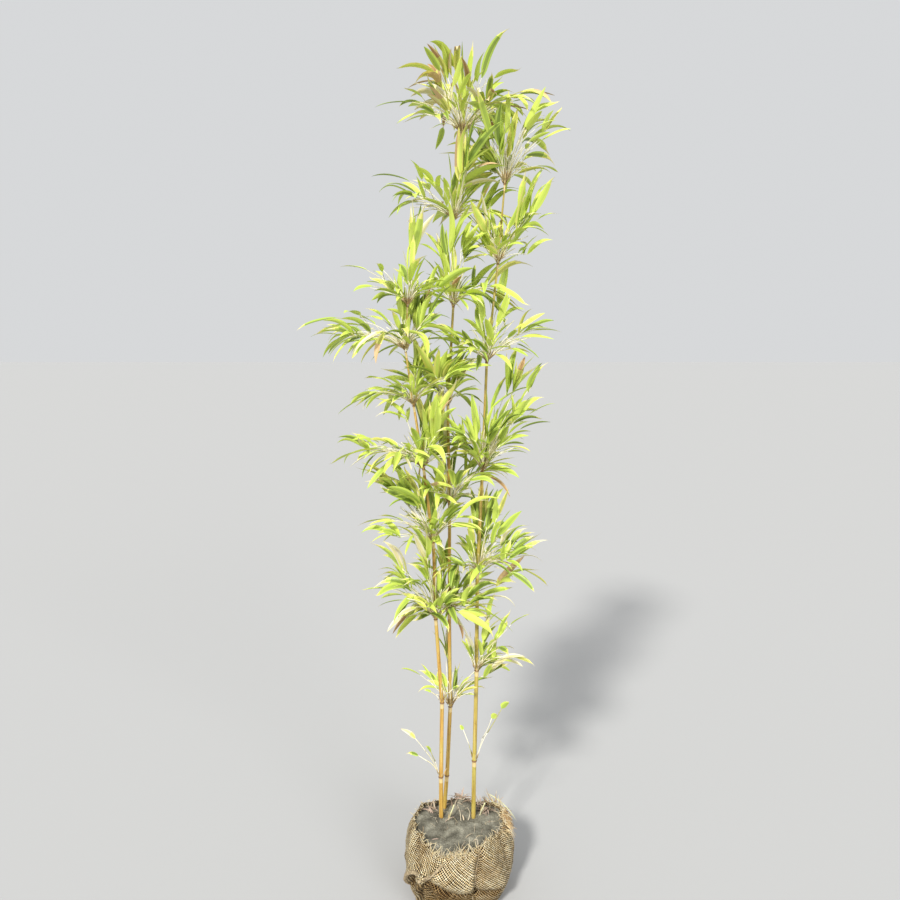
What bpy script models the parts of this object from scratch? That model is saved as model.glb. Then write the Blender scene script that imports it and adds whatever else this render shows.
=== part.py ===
"""A bamboo with three culms, standing on its burlap-wrapped root ball.

Metres, +Z up.  The origin is the centre of the root ball's flat underside,
-Y is the front and +X is the right-hand side seen from the front.
"""
import math
import random
from collections import namedtuple

import bmesh
import bpy
from mathutils import Matrix, Vector
from mathutils.bvhtree import BVHTree

GAP = 0.0003                       # clearance between pieces that touch
GOLDEN_ANGLE = math.radians(137.5)
GOLDEN_SHARE = 0.618
MERGE = 0.000002                   # shortest edge that is kept

# Root ball: a bag of burlap, filled with soil.  A level is a share of its height.
BALL_RADIUS = 0.133                # at its widest
WIDEST_LEVEL = 0.48
FOOT_RADIUS = 0.104                # of the flat underside
MOUTH_RADIUS = 0.108               # at the rim
MOUTH_CURVE = 2.4                  # how late the ball draws in towards its mouth
RIM_HEIGHT = 0.181
RIM_DIPS = ((-106, 0.55, 0.013), (90, 0.95, 0.024))    # angle in degrees, spread, depth
RIM_WAVE = 0.003
RIM_WAVES = 5
BURLAP_THICKNESS = 0.0035
BALL_SIDES = 24
BALL_LEVELS = (0.0, 0.07, 0.25, 0.48, 0.70, 0.86, 0.95, 1.0)
FOLDS = ((3, 0.9, 0.0, 0.0035), (7, 0.0, 4.0, 0.0022))    # count, start, twist, height
SIDE_SWELL = 0.003                 # how much further the ball reaches to its sides
SEAM_ANGLE = math.radians(-70)
SEAM_SPREAD = 0.16
SEAM_DEPTH = 0.006
KNOT_ANGLE = math.radians(-130)
KNOT_LEVEL = 0.52
KNOT_SPREAD = 0.34
KNOT_RISE = 0.20
KNOT_BULGE = 0.010
SOIL_LEVELS = 7                    # soil fills the bag up to this many of the levels
SOIL_RINGS = (0.83, 0.60, 0.30)          # rings on the soil's top, as shares of its radius
SOIL_WAVE = 0.0015
SIDE_CLEARANCE = 0.0006            # between soil and sloping burlap, along the radius

# Culms.  The depth is how far behind the culm its tufts' spaces lie, and each
# internode is its length and its sideways lean in degrees.
SOIL_HEIGHT = 0.171                # where the culms come out of the soil
SOIL_FALL = 0.06                   # slope of the soil down to the front
BACK_FALL = 0.35                   # and down to the back, behind the culms
BACK_EDGE = 0.035                  # where that slope starts
MOUND_PLACE = (0.012, 0.074)       # heap between the culms
MOUND_RISE = 0.026
MOUND_RADIUS = 0.032
SOCKET_DEPTH = 0.030
CULM_SIDES = 7
NODE_RIDGE = 1.22                  # ridge radius over culm radius
RIDGE_HALF = 0.004
RIDGE_SECTIONS = ((-1.0, 1.0), (0.0, NODE_RIDGE), (0.7, 0.95))    # place, radius
CULM_TAPER = 1.25                  # above 1, the culm thins mostly near its tip
CULM_TIP = 0.032                   # bare point above the top node
TIP_SHARE = 0.45                   # of the top radius, at the point
Culm = namedtuple("Culm", "foot back_lean radius tip_radius depth internodes")
CULMS = {
    "left": Culm((-0.042, 0.020), 1.8, 0.0056, 0.0021, -0.04, (
        (0.110, -0.2), (0.199, 0.8), (0.217, -3.9), (0.193, -1.7),
        (0.180, -7.0), (0.152, -8.6), (0.127, -8.0), (0.103, 2.4))),
    "middle": Culm((-0.034, 0.060), 1.7, 0.0054, 0.0020, 0.06, (
        (0.087, 4.3), (0.190, 2.5), (0.248, -0.5), (0.279, 0.1),
        (0.243, -0.9), (0.231, 3.1), (0.194, 0.1), (0.191, 5.6))),
    "right": Culm((0.040, 0.020), 2.2, 0.0057, 0.0021, -0.04, (
        (0.153, 0.6), (0.239, 1.1), (0.250, 0.2), (0.249, 2.4),
        (0.258, 2.0), (0.225, 6.0), (0.177, 4.7))),
}

# Dry cut shoots in the soil: foot, lean to the right in degrees, length.
SHOOTS = {
    "dry_shoot_left": ((-0.024, 0.008), 19.0, 0.056),
    "dry_shoot_right": ((0.056, 0.026), 21.0, 0.048),
}
SHOOT_RADIUS = 0.0018
SHOOT_END = 0.8                    # of that radius, at the cut end
SHOOT_BACK_LEAN = 3.0
SHOOT_SOCKET = 0.012

# Leafy tufts.  Each is its node, counted up the culm from the soil; how far its
# furthest leaves reach to the left and right, and at what height above the node;
# where its top leaf ends, sideways and up; its lowest leaf; its twigs; and the
# leaves on each twig.
Tuft = namedtuple("Tuft", "node left right top low twigs leaves")
TUFTS = {
    "left": (
        Tuft(1, (0.100, 0.137), (0.027, 0.088), (-0.038, 0.116), 0.06, 3, 1),
        Tuft(2, (0.045, 0.040), (0.045, 0.055), (0.000, 0.075), 0.03, 3, 1),
        Tuft(3, (0.182, 0.073), (0.100, 0.060), (-0.042, 0.204), -0.02, 13, 5),
        Tuft(4, (0.183, 0.042), (0.090, 0.106), (-0.067, 0.157), 0.00, 11, 5),
        Tuft(5, (0.223, 0.010), (0.132, 0.072), (-0.081, 0.136), -0.03, 14, 5),
        Tuft(6, (0.179, -0.019), (0.110, 0.058), (0.026, 0.105), -0.04, 11, 5),
        Tuft(7, (0.251, 0.050), (0.105, 0.053), (-0.031, 0.114), -0.03, 12, 5),
        Tuft(8, (0.153, 0.089), (0.090, 0.056), (0.019, 0.155), -0.02, 12, 5)),
    "middle": (
        Tuft(2, (0.128, 0.093), (0.114, 0.072), (0.025, 0.190), 0.00, 7, 4),
        Tuft(3, (0.080, 0.061), (0.169, -0.072), (0.014, 0.139), -0.06, 11, 5),
        Tuft(4, (0.100, 0.100), (0.120, 0.053), (0.006, 0.183), -0.03, 13, 5),
        Tuft(5, (0.080, 0.050), (0.080, 0.036), (0.005, 0.110), -0.01, 9, 4),
        Tuft(6, (0.090, 0.130), (0.110, 0.080), (-0.030, 0.175), -0.01, 13, 5),
        Tuft(7, (0.191, 0.104), (0.110, 0.120), (-0.012, 0.141), 0.00, 13, 5),
        Tuft(8, (0.197, 0.056), (0.177, 0.115), (0.100, 0.210), -0.01, 16, 5)),
    "right": (
        Tuft(1, (0.036, 0.088), (0.085, 0.172), (0.070, 0.177), 0.06, 3, 1),
        Tuft(2, (0.030, 0.079), (0.147, 0.008), (0.129, 0.167), 0.00, 8, 4),
        Tuft(3, (0.080, 0.020), (0.175, -0.041), (0.101, 0.167), -0.03, 12, 5),
        Tuft(4, (0.105, 0.090), (0.170, 0.163), (0.060, 0.260), -0.04, 14, 5),
        Tuft(5, (0.095, 0.070), (0.177, 0.069), (0.086, 0.187), -0.02, 12, 5),
        Tuft(6, (0.085, 0.060), (0.141, 0.114), (0.049, 0.140), 0.00, 11, 5),
        Tuft(7, (0.080, 0.080), (0.145, 0.115), (0.103, 0.201), 0.00, 14, 5)),
}
TUFT_SEED = 7
LEAST_DEPTH = 0.095                # reach to the front and back of a leafy tuft
DEPTH_SHARE = 0.90                 # of the mean sideways reach, for wider tufts
TOP_LEAF_DEPTH = -0.045            # the top leaf passes in front of its culm
HIGHEST_RISE = 0.95                # of the twigs dealt round a tuft, 1 being its top
LOWEST_RISE = -0.30
TARGETS_PER_TWIG = 8
TUFT_LIFT = 0.025                  # centre of a tuft's reach above its node
COLLAR_SIDES = 6
COLLAR_WALL = 0.0030
COLLAR_HEIGHT = 0.009
TWIG_ROOT = 0.0013
TWIG_END = 0.0010
TWIG_SIDES = 3
LEAF_SHARE = 0.62                  # of a twig's reach that its first leaf takes
TWIG_LIFT = 0.20                   # rise of a level twig's end over its reach
LEAF_SHORTEST = 0.065
LEAF_WIDTH = 0.0220
LEAF_THICKNESS = 0.0018
LEAF_ARCH = 0.11                   # rise of the leaf's middle over its length
LEAF_WIDEST = 0.40                 # where the leaf is widest, along its length
LEAF_SINK = 0.0012                 # how far behind the twig's end a leaf starts
KEEL_PLACE = 0.18                  # where the leaf is thickest, along its length
LEAF_ROLL = 0.6
FULL_WIDTH_LENGTH = 0.100          # a shorter leaf is narrower
LEAF_STEP = 0.013                  # between the roots of two leaves on a twig
SPACE_SIDE = 0.25                  # place of the space's centre between the tuft's sides
SPACE_LIFT = 0.4                   # and between its foot and its top
SPACE_SHARE = 0.3                  # of a tuft's reach, in sharing out the space
SPACE_MARGIN = 0.0012
LIMB_MARGIN = 0.0015
SAMPLE_STEP = 0.004
SHORTEST_TWIG = 0.015
SHRINK = 0.96                      # of the reach, at each new try
SWING = 0.14                       # further turn at each new try, to either side
TWIG_TRIES = 12
LEAF_TRIES = 14

COLOURS = {
    "culm": ((0.62, 0.38, 0.10), 0.45),
    "foliage": ((0.36, 0.55, 0.07), 0.55),
    "burlap": ((0.52, 0.41, 0.22), 0.95),
    "soil": ((0.20, 0.18, 0.14), 1.0),
    "straw": ((0.66, 0.58, 0.36), 0.80),
}

Site = namedtuple("Site", "culm tuft node axis radius centre reach")


def clear_scene():
    for item in list(bpy.data.objects):
        bpy.data.objects.remove(item, do_unlink=True)


def material(name):
    """Principled material of the named colour."""
    found = bpy.data.materials.get(name)
    if found:
        return found
    colour, roughness = COLOURS[name]
    made = bpy.data.materials.new(name)
    made.use_nodes = True
    shader = made.node_tree.nodes["Principled BSDF"]
    shader.inputs["Base Color"].default_value = (*colour, 1.0)
    shader.inputs["Roughness"].default_value = roughness
    shader.inputs["Metallic"].default_value = 0.0
    return made


def mesh_object(name, points, faces, look):
    """Object from points and faces, with its faces turned outwards."""
    mesh = bpy.data.meshes.new(name)
    mesh.from_pydata([tuple(point) for point in points], [], faces)
    body = bmesh.new()
    body.from_mesh(mesh)
    bmesh.ops.recalc_face_normals(body, faces=body.faces)
    body.to_mesh(mesh)
    body.free()
    made = bpy.data.objects.new(name, mesh)
    made.data.materials.append(material(look))
    bpy.context.scene.collection.objects.link(made)
    return made


def cross_axes(direction):
    """Two unit vectors square to a direction, the first one close to +X."""
    across = Vector((1, 0, 0)) - direction * direction.x
    across.normalize()
    return across, direction.cross(across)


def ring(centre, direction, radius, sides):
    """Corners of a regular polygon round a centre, square to a direction."""
    across, along = cross_axes(direction)
    turns = [2 * math.pi * side / sides for side in range(sides)]
    return [centre + radius * (math.cos(turn) * across + math.sin(turn) * along) for turn in turns]


def band(lower, upper, sides):
    """Quads between two rings, given the number of each ring's first point."""
    faces = []
    for side in range(sides):
        after = (side + 1) % sides
        faces.append((lower + side, lower + after, upper + after, upper + side))
    return faces


def tube(name, centres, directions, radii, sides, look):
    """Closed tube through a line of centres, with a flat cap at each end."""
    points = []
    faces = []
    for centre, direction, radius in zip(centres, directions, radii):
        points += ring(centre, direction, radius, sides)
    for section in range(len(centres) - 1):
        faces += band(section * sides, (section + 1) * sides, sides)
    faces.append(tuple(range(sides)))
    faces.append(tuple(range(len(points) - sides, len(points))))
    return mesh_object(name, points, faces, look)


def subtract(body, cutters):
    """Cut each cutter out of a body and remove the cutters."""
    for cutter in cutters:
        cut = body.modifiers.new(cutter.name, "BOOLEAN")
        cut.operation = "DIFFERENCE"
        cut.solver = "EXACT"
        cut.object = cutter
    apply_modifiers(body)
    for cutter in cutters:
        bpy.data.objects.remove(cutter, do_unlink=True)


def apply_modifiers(body):
    """Replace a body's mesh by the one its modifiers give."""
    graph = bpy.context.evaluated_depsgraph_get()
    result = bpy.data.meshes.new_from_object(body.evaluated_get(graph))
    body.modifiers.clear()
    body.data = result


# --- culms -----------------------------------------------------------------

def internode_direction(culm, lean):
    sideways = math.tan(math.radians(lean))
    back = math.tan(math.radians(culm.back_lean))
    return Vector((sideways, back, 1)).normalized()


def culm_nodes(culm):
    """The culm's foot and each node above it, from bottom to top."""
    places = [Vector((*culm.foot, SOIL_HEIGHT))]
    for length, lean in culm.internodes:
        places.append(places[-1] + length * internode_direction(culm, lean))
    return places


def culm_radius(culm, place):
    """Radius of the culm at a height, tapering more towards its tip."""
    nodes = culm_nodes(culm)
    share = (place.z - nodes[0].z) / (nodes[-1].z - nodes[0].z)
    share = min(max(share, 0.0), 1.0)
    return culm.radius + (culm.tip_radius - culm.radius) * share ** CULM_TAPER


def culm_sections(culm):
    """Centres, directions and radii of the culm's rings, from its foot to its tip."""
    nodes = culm_nodes(culm)
    directions = [internode_direction(culm, lean) for _, lean in culm.internodes]
    centres = [nodes[0] - SOCKET_DEPTH * directions[0]]
    facing = [directions[0]]
    radii = [culm.radius]
    for number, node in enumerate(nodes[1:]):
        below = directions[number]
        above = directions[min(number + 1, len(directions) - 1)]
        radius = culm_radius(culm, node)
        for shift, scale in RIDGE_SECTIONS:
            way = below if shift < 0 else above
            centres.append(node + shift * RIDGE_HALF * way)
            facing.append((below + above).normalized() if shift == 0 else way)
            radii.append(radius * scale)
    centres.append(nodes[-1] + CULM_TIP * directions[-1])
    facing.append(directions[-1])
    radii.append(culm.tip_radius * TIP_SHARE)
    return centres, facing, radii


def add_culm(name, culm):
    centres, facing, radii = culm_sections(culm)
    return tube(name, centres, facing, radii, CULM_SIDES, "culm")


def culm_socket(name, culm):
    """Cutter for the hole in the soil that a culm stands in."""
    first = internode_direction(culm, culm.internodes[0][1])
    foot = Vector((*culm.foot, SOIL_HEIGHT))
    centres = [foot - (SOCKET_DEPTH + GAP) * first, foot + 2 * SOCKET_DEPTH * first]
    radius = culm.radius + GAP / math.cos(math.pi / CULM_SIDES)
    return tube(name, centres, [first] * 2, [radius] * 2, CULM_SIDES, "soil")


# --- root ball -------------------------------------------------------------

def bump(value, centre, width):
    return math.exp(-((value - centre) / width) ** 2)


def angle_from(angle, centre):
    """Signed angle from a centre, between half a turn either way."""
    return (angle - centre + math.pi) % (2 * math.pi) - math.pi


def rim_height(angle):
    """Height of the rim, which sinks at the front and at the back."""
    height = RIM_HEIGHT + RIM_WAVE * math.sin(RIM_WAVES * angle)
    for place, spread, depth in RIM_DIPS:
        height -= depth * bump(angle_from(angle, math.radians(place)), 0, spread)
    return height


def profile_radius(level):
    """Radius of the ball at a level, without its folds."""
    if level < WIDEST_LEVEL:
        rise = math.sqrt(1 - (1 - level / WIDEST_LEVEL) ** 2)
        return FOOT_RADIUS + (BALL_RADIUS - FOOT_RADIUS) * rise
    fall = ((level - WIDEST_LEVEL) / (1 - WIDEST_LEVEL)) ** MOUTH_CURVE
    return BALL_RADIUS + (MOUTH_RADIUS - BALL_RADIUS) * fall


def burlap_radius(angle, level):
    """Radius of the burlap, with its folds, its seam and the bulge at its knot."""
    radius = profile_radius(level) + SIDE_SWELL * abs(math.cos(angle)) ** 3
    for count, start, twist, height in FOLDS:
        radius += height * math.sin(count * angle + start + twist * level)
    seam = bump(angle_from(angle, SEAM_ANGLE), 0, SEAM_SPREAD)
    radius -= SEAM_DEPTH * seam * math.sin(math.pi * level)
    knot = bump(angle_from(angle, KNOT_ANGLE), 0, KNOT_SPREAD)
    return radius + KNOT_BULGE * knot * bump(level, KNOT_LEVEL, KNOT_RISE)


def ball_ring(level, inset, floor):
    """Points round the ball at a level, moved in from the burlap's outer face."""
    points = []
    for side in range(BALL_SIDES):
        angle = 2 * math.pi * side / BALL_SIDES
        radius = burlap_radius(angle, level) - inset
        height = max(level * rim_height(angle), floor)
        points.append(Vector((radius * math.cos(angle), radius * math.sin(angle), height)))
    return points


def split_band(first, second, rising):
    """Triangles between two rings, each cut from low left to high right."""
    faces = []
    for side in range(BALL_SIDES):
        after = (side + 1) % BALL_SIDES
        low, high = (first, second) if rising else (second, first)
        faces.append((low + side, low + after, high + after))
        faces.append((low + side, high + after, high + side))
    return faces


def stacked(rings):
    """Points and faces of rings joined into a skin with flat end caps."""
    points = [point for row in rings for point in row]
    faces = []
    for row in range(len(rings) - 1):
        rising = rings[row + 1][0].z > rings[row][0].z
        faces += split_band(row * BALL_SIDES, (row + 1) * BALL_SIDES, rising)
    faces.append(tuple(range(BALL_SIDES)))
    faces.append(tuple(range(len(points) - BALL_SIDES, len(points))))
    return points, faces


def add_burlap():
    """The bag: its outer face, its rim and its inner face in one skin."""
    outer = [ball_ring(level, 0.0, 0.0) for level in BALL_LEVELS]
    inner = [ball_ring(level, BURLAP_THICKNESS, BURLAP_THICKNESS) for level in BALL_LEVELS]
    points, faces = stacked(outer + inner[::-1])
    return mesh_object("burlap_wrap", points, faces, "burlap")


def soil_top(x, y):
    """Height of the soil, level round the culms, with a heap behind them."""
    fall = SOIL_FALL * max(0.0, -y) + BACK_FALL * max(0.0, y - BACK_EDGE)
    aside = math.hypot(x - MOUND_PLACE[0], y - MOUND_PLACE[1])
    mound = MOUND_RISE * bump(aside, 0, MOUND_RADIUS)
    return SOIL_HEIGHT - fall + mound + SOIL_WAVE * math.sin(60 * x + 1) * math.cos(50 * y)


def add_soil():
    """The soil inside the bag, up to its uneven top."""
    inset = BURLAP_THICKNESS + SIDE_CLEARANCE
    floor = BURLAP_THICKNESS + GAP
    rings = [ball_ring(level, inset, floor) for level in BALL_LEVELS[:SOIL_LEVELS]]
    for share in SOIL_RINGS:
        row = []
        for edge in rings[SOIL_LEVELS - 1]:
            x = edge.x * share
            y = edge.y * share
            row.append(Vector((x, y, soil_top(x, y))))
        rings.append(row)
    points, faces = stacked(rings)
    return mesh_object("soil", points, faces, "soil")


def shoot_line(foot, lean):
    """Where a shoot leaves the soil, and its way up."""
    sideways = math.tan(math.radians(lean))
    back = math.tan(math.radians(SHOOT_BACK_LEAN))
    return Vector((*foot, soil_top(*foot))), Vector((sideways, back, 1)).normalized()


def add_shoot(name):
    foot, lean, length = SHOOTS[name]
    place, way = shoot_line(foot, lean)
    ends = [place - SHOOT_SOCKET * way, place + (length - SHOOT_SOCKET) * way]
    radii = [SHOOT_RADIUS, SHOOT_RADIUS * SHOOT_END]
    return tube(name, ends, [way] * 2, radii, COLLAR_SIDES, "straw")


def shoot_socket(name):
    foot, lean, _ = SHOOTS[name]
    place, way = shoot_line(foot, lean)
    ends = [place - (SHOOT_SOCKET + GAP) * way, place + SHOOT_SOCKET * way]
    radius = SHOOT_RADIUS + GAP / math.cos(math.pi / COLLAR_SIDES)
    return tube(name + "_socket", ends, [way] * 2, [radius] * 2, COLLAR_SIDES, "soil")


# --- tufts -----------------------------------------------------------------

def tuft_sites():
    """Where each tuft grows: its node, the culm's way there and its own space."""
    sites = []
    for name, tufts in TUFTS.items():
        culm = CULMS[name]
        nodes = culm_nodes(culm)
        for tuft in tufts:
            node = nodes[tuft.node]
            last = len(culm.internodes) - 1
            axis = internode_direction(culm, culm.internodes[min(tuft.node, last)][1])
            sideways = SPACE_SIDE * (tuft.right[0] - tuft.left[0])
            upwards = SPACE_LIFT * (tuft.top[1] + tuft.low)
            centre = node + Vector((sideways, culm.depth, upwards))
            reach = SPACE_SHARE * (tuft.left[0] + tuft.right[0] + tuft.top[1]) / 3
            sites.append(Site(name, tuft, node, axis, culm_radius(culm, node), centre, reach))
    return sites


def line_distance(point, start, end):
    """Distance from a point to the stretch between start and end."""
    run = end - start
    share = (point - start).dot(run) / run.length_squared
    return (point - start - min(max(share, 0.0), 1.0) * run).length


def limb_stretches():
    """Every internode as its two ends and its larger radius."""
    stretches = []
    for culm in CULMS.values():
        centres = culm_nodes(culm)
        way = internode_direction(culm, culm.internodes[-1][1])
        centres.append(centres[-1] + CULM_TIP * way)
        for low, high in zip(centres, centres[1:]):
            stretches.append((low, high, culm_radius(culm, low)))
    return stretches


def collar_stretch(site):
    """The stretch of culm that a tuft's collar goes round, and its radius."""
    high = site.node + (RIDGE_HALF + COLLAR_HEIGHT) * site.axis
    return site.node, high, site.radius + COLLAR_WALL + 2 * GAP


def reach_at(tuft, azimuth):
    """Level reach of a tuft towards an azimuth."""
    side = tuft.right[0] if math.cos(azimuth) > 0 else tuft.left[0]
    depth = max(DEPTH_SHARE * 0.5 * (tuft.left[0] + tuft.right[0]), min(LEAST_DEPTH, tuft.top[1]))
    return depth + (side - depth) * math.cos(azimuth) ** 2


def limit_offset(tuft, azimuth, rise):
    """Point on the tuft's outer limit, rise being -1 at its foot and 1 at its top."""
    level = math.sqrt(1 - rise ** 2) * reach_at(tuft, azimuth)
    room = tuft.top[1] - TUFT_LIFT if rise > 0 else TUFT_LIFT - tuft.low
    return Vector((level * math.cos(azimuth), level * math.sin(azimuth), TUFT_LIFT + rise * room))


def leaf_targets(tuft, rng):
    """Where the outermost leaf of each twig ends, from the node: the tuft's named
    reaches first, and then places dealt evenly over its outer limit."""
    yield Vector((-tuft.left[0], rng.uniform(-0.02, 0.02), tuft.left[1]))
    yield Vector((tuft.right[0], rng.uniform(-0.02, 0.02), tuft.right[1]))
    yield Vector((tuft.top[0], TOP_LEAF_DEPTH, tuft.top[1]))
    first = rng.uniform(0, 2 * math.pi)
    for number in range(TARGETS_PER_TWIG * tuft.twigs):
        rise = HIGHEST_RISE - (HIGHEST_RISE - LOWEST_RISE) * (number * GOLDEN_SHARE % 1)
        yield limit_offset(tuft, first + number * GOLDEN_ANGLE, rise)


def heading(azimuth, elevation):
    level = math.cos(elevation)
    return Vector((level * math.cos(azimuth), level * math.sin(azimuth), math.sin(elevation)))


def angles_of(way):
    """Azimuth and elevation of a vector."""
    return math.atan2(way.y, way.x), math.atan2(way.z, math.hypot(way.x, way.y))


def leaf_axes(root, tip, roll):
    """The leaf's side and its upper face's way, rolled about its run."""
    run = (tip - root).normalized()
    side = run.cross(Vector((0, 0, 1)))
    if side.length < 0.2:
        side = run.cross(Vector((1, 0, 0)))
    side.normalize()
    rolled = math.cos(roll) * side + math.sin(roll) * side.cross(run)
    return rolled, rolled.cross(run)


def leaf_points(root, tip, roll):
    """Root, left edge, right edge, keel and tip of an arching leaf."""
    side, upper = leaf_axes(root, tip, roll)
    length = (tip - root).length
    rise = Vector((0, 0, LEAF_ARCH * length))
    middle = root + LEAF_WIDEST * (tip - root) + rise
    keel = root + KEEL_PLACE * (tip - root) + KEEL_PLACE / LEAF_WIDEST * rise
    half = 0.5 * LEAF_WIDTH * min(1.0, length / FULL_WIDTH_LENGTH)
    return [root, middle + half * side, middle - half * side, keel - LEAF_THICKNESS * upper, tip]


LEAF_FACES = ((0, 1, 2), (0, 2, 3), (0, 3, 1), (1, 4, 2), (2, 4, 3), (3, 4, 1))


def twig_shape(start, end):
    """Points and faces of a three-sided twig."""
    way = (end - start).normalized()
    points = ring(start, way, TWIG_ROOT, TWIG_SIDES) + ring(end, way, TWIG_END, TWIG_SIDES)
    return points, band(0, TWIG_SIDES, TWIG_SIDES) + [(0, 1, 2), (3, 4, 5)]


class GrowingTuft:
    """One tuft while it grows, clear of the culms and inside its own space."""

    def __init__(self, site, sites, limbs, seed):
        self.site = site
        self.tuft = site.tuft
        self.others = [other for other in sites if other is not site]
        self.limbs = limbs + [collar_stretch(other) for other in self.others]
        self.rng = random.Random(seed)
        self.pieces = []
        self.trees = []

    def in_space(self, points):
        """True where every point is nearer to this tuft than to any other one."""
        site = self.site
        for point in points:
            own = (point - site.centre).length_squared - site.reach ** 2
            for other in self.others:
                theirs = (point - other.centre).length_squared - other.reach ** 2
                if theirs - own < 2 * (other.centre - site.centre).length * SPACE_MARGIN:
                    return False
        return True

    def clear_of_limbs(self, start, end, half_width, skipped=0.0):
        """True where a straight piece passes every culm with room to spare."""
        run = end - start
        steps = max(2, int(run.length / SAMPLE_STEP))
        for step in range(steps + 1):
            share = step / steps
            point = start + share * run
            if share * run.length < skipped:
                continue
            for low, high, radius in self.limbs:
                if line_distance(point, low, high) < radius + half_width + LIMB_MARGIN:
                    return False
        return True

    def crosses(self, tree):
        return any(tree.overlap(other) for other in self.trees)

    def leaf_fits(self, points):
        """True where a leaf keeps to the space, clear of the culms and other leaves."""
        if not self.in_space(points):
            return False
        root, left, right, _, tip = points
        middle = (left + right) / 2
        half = 0.5 * (left - right).length
        if not self.clear_of_limbs(root, middle, 0.5 * half):
            return False
        if not self.clear_of_limbs(middle, tip, 0.8 * half):
            return False
        return not self.crosses(BVHTree.FromPolygons(points, LEAF_FACES))

    def add(self, name, points, faces):
        self.pieces.append(mesh_object(name, points, faces, "foliage"))
        self.trees.append(BVHTree.FromPolygons(points, faces))

    def twig_root(self, azimuth):
        """Start of a twig, in the middle of the collar's wall."""
        site = self.site
        across, along = cross_axes(site.axis)
        spread = math.cos(azimuth) * across + math.sin(azimuth) * along
        middle = site.radius + GAP + 0.55 * COLLAR_WALL
        return site.node + (RIDGE_HALF + 0.6 * COLLAR_HEIGHT) * site.axis + middle * spread

    def twig_ends(self, offset):
        """Start and end of a twig whose first leaf ends at an offset from the node,
        or None where it can't run.  It rises, so that its leaf hangs outwards."""
        azimuth, elevation = angles_of(offset)
        lift = TWIG_LIFT * offset.length * math.cos(elevation)
        end = self.site.node + (1 - LEAF_SHARE) * offset + Vector((0, 0, lift))
        start = self.twig_root(azimuth)
        if (end - start).length < SHORTEST_TWIG or not self.in_space([end]):
            return None
        if not self.clear_of_limbs(start, end, TWIG_ROOT, COLLAR_HEIGHT):
            return None
        if self.crosses(BVHTree.FromPolygons(*twig_shape(start, end))):
            return None
        return start, end

    def side_leaf(self, root, turn, run):
        """One further leaf of a twig, turned away from the twig's first leaf."""
        azimuth, elevation = angles_of(run)
        for number in range(LEAF_TRIES):
            slope = 0.7 * elevation + self.rng.uniform(-0.5, 0.6)
            way = heading(azimuth + turn * self.rng.uniform(0.3, 1.4), slope)
            reach = max(LEAF_SHORTEST, SHRINK ** number * run.length * self.rng.uniform(0.8, 1.0))
            points = leaf_points(root, root + reach * way, self.roll())
            if self.leaf_fits(points):
                self.add("leaf", points, LEAF_FACES)
                return

    def roll(self):
        return self.rng.uniform(-LEAF_ROLL, LEAF_ROLL)

    def grow_spray(self, target):
        """One twig with its leaves, the first of which reaches the tuft's limit."""
        for number in range(TWIG_TRIES):
            swing = SWING * number * (1 if number % 2 else -1)
            offset = Matrix.Rotation(swing, 3, "Z") @ (SHRINK ** number * target)
            ends = self.twig_ends(offset)
            if ends is None:
                continue
            start, end = ends
            back = (start - end).normalized()
            tip = self.site.node + offset
            points = leaf_points(end + LEAF_SINK * back, tip, self.roll())
            if not self.leaf_fits(points):
                continue
            self.add("leaf", points, LEAF_FACES)
            room = int((end - start).length / LEAF_STEP)
            for place in range(1, min(self.tuft.leaves, room)):
                turn = 1 if place % 2 else -1
                self.side_leaf(end + place * LEAF_STEP * back, turn, tip - end)
            self.add("twig", *twig_shape(start, end))
            return True
        return False

    def grow(self):
        """Grow twigs towards the tuft's reaches until it has all its twigs."""
        twigs = 0
        for target in leaf_targets(self.tuft, self.rng):
            twigs += self.grow_spray(target)
            if twigs == self.tuft.twigs:
                return


def add_collar(site):
    """Ring of sheath round the culm that the twigs grow out of."""
    low = site.node + RIDGE_HALF * site.axis
    high = low + COLLAR_HEIGHT * site.axis
    inner = (site.radius + GAP) / math.cos(math.pi / COLLAR_SIDES)
    outer = inner + COLLAR_WALL
    points = []
    for centre, radius in ((low, inner), (low, outer), (high, outer), (high, inner)):
        points += ring(centre, site.axis, radius, COLLAR_SIDES)
    faces = []
    for row in range(4):
        faces += band(row * COLLAR_SIDES, (row + 1) % 4 * COLLAR_SIDES, COLLAR_SIDES)
    return mesh_object(f"tuft_{site.culm}_{site.tuft.node}", points, faces, "foliage")


def fuse(body, pieces):
    """Union of a body and its pieces, which are removed."""
    group = bpy.data.collections.new(body.name + "_pieces")
    bpy.context.scene.collection.children.link(group)
    for piece in pieces:
        bpy.context.scene.collection.objects.unlink(piece)
        group.objects.link(piece)
    union = body.modifiers.new("union", "BOOLEAN")
    union.operation = "UNION"
    union.solver = "EXACT"
    union.operand_type = "COLLECTION"
    union.collection = group
    apply_modifiers(body)
    for piece in pieces:
        bpy.data.objects.remove(piece, do_unlink=True)
    bpy.data.collections.remove(group)


def island(start):
    """Every corner that is joined to a starting corner by edges."""
    found = {start}
    waiting = [start]
    while waiting:
        corner = waiting.pop()
        for edge in corner.link_edges:
            other = edge.other_vert(corner)
            if other not in found:
                found.add(other)
                waiting.append(other)
    return found


def tidy_mesh(body):
    """Keep a body's largest island, in triangles with no zero-size faces."""
    work = bmesh.new()
    work.from_mesh(body.data)
    bmesh.ops.dissolve_degenerate(work, edges=work.edges, dist=MERGE)
    left = set(work.verts)
    islands = []
    while left:
        found = island(next(iter(left)))
        islands.append(found)
        left -= found
    islands.sort(key=len, reverse=True)
    scraps = [corner for found in islands[1:] for corner in found]
    bmesh.ops.delete(work, geom=scraps, context="VERTS")
    bmesh.ops.triangulate(work, faces=work.faces)
    work.to_mesh(body.data)
    work.free()


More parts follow.
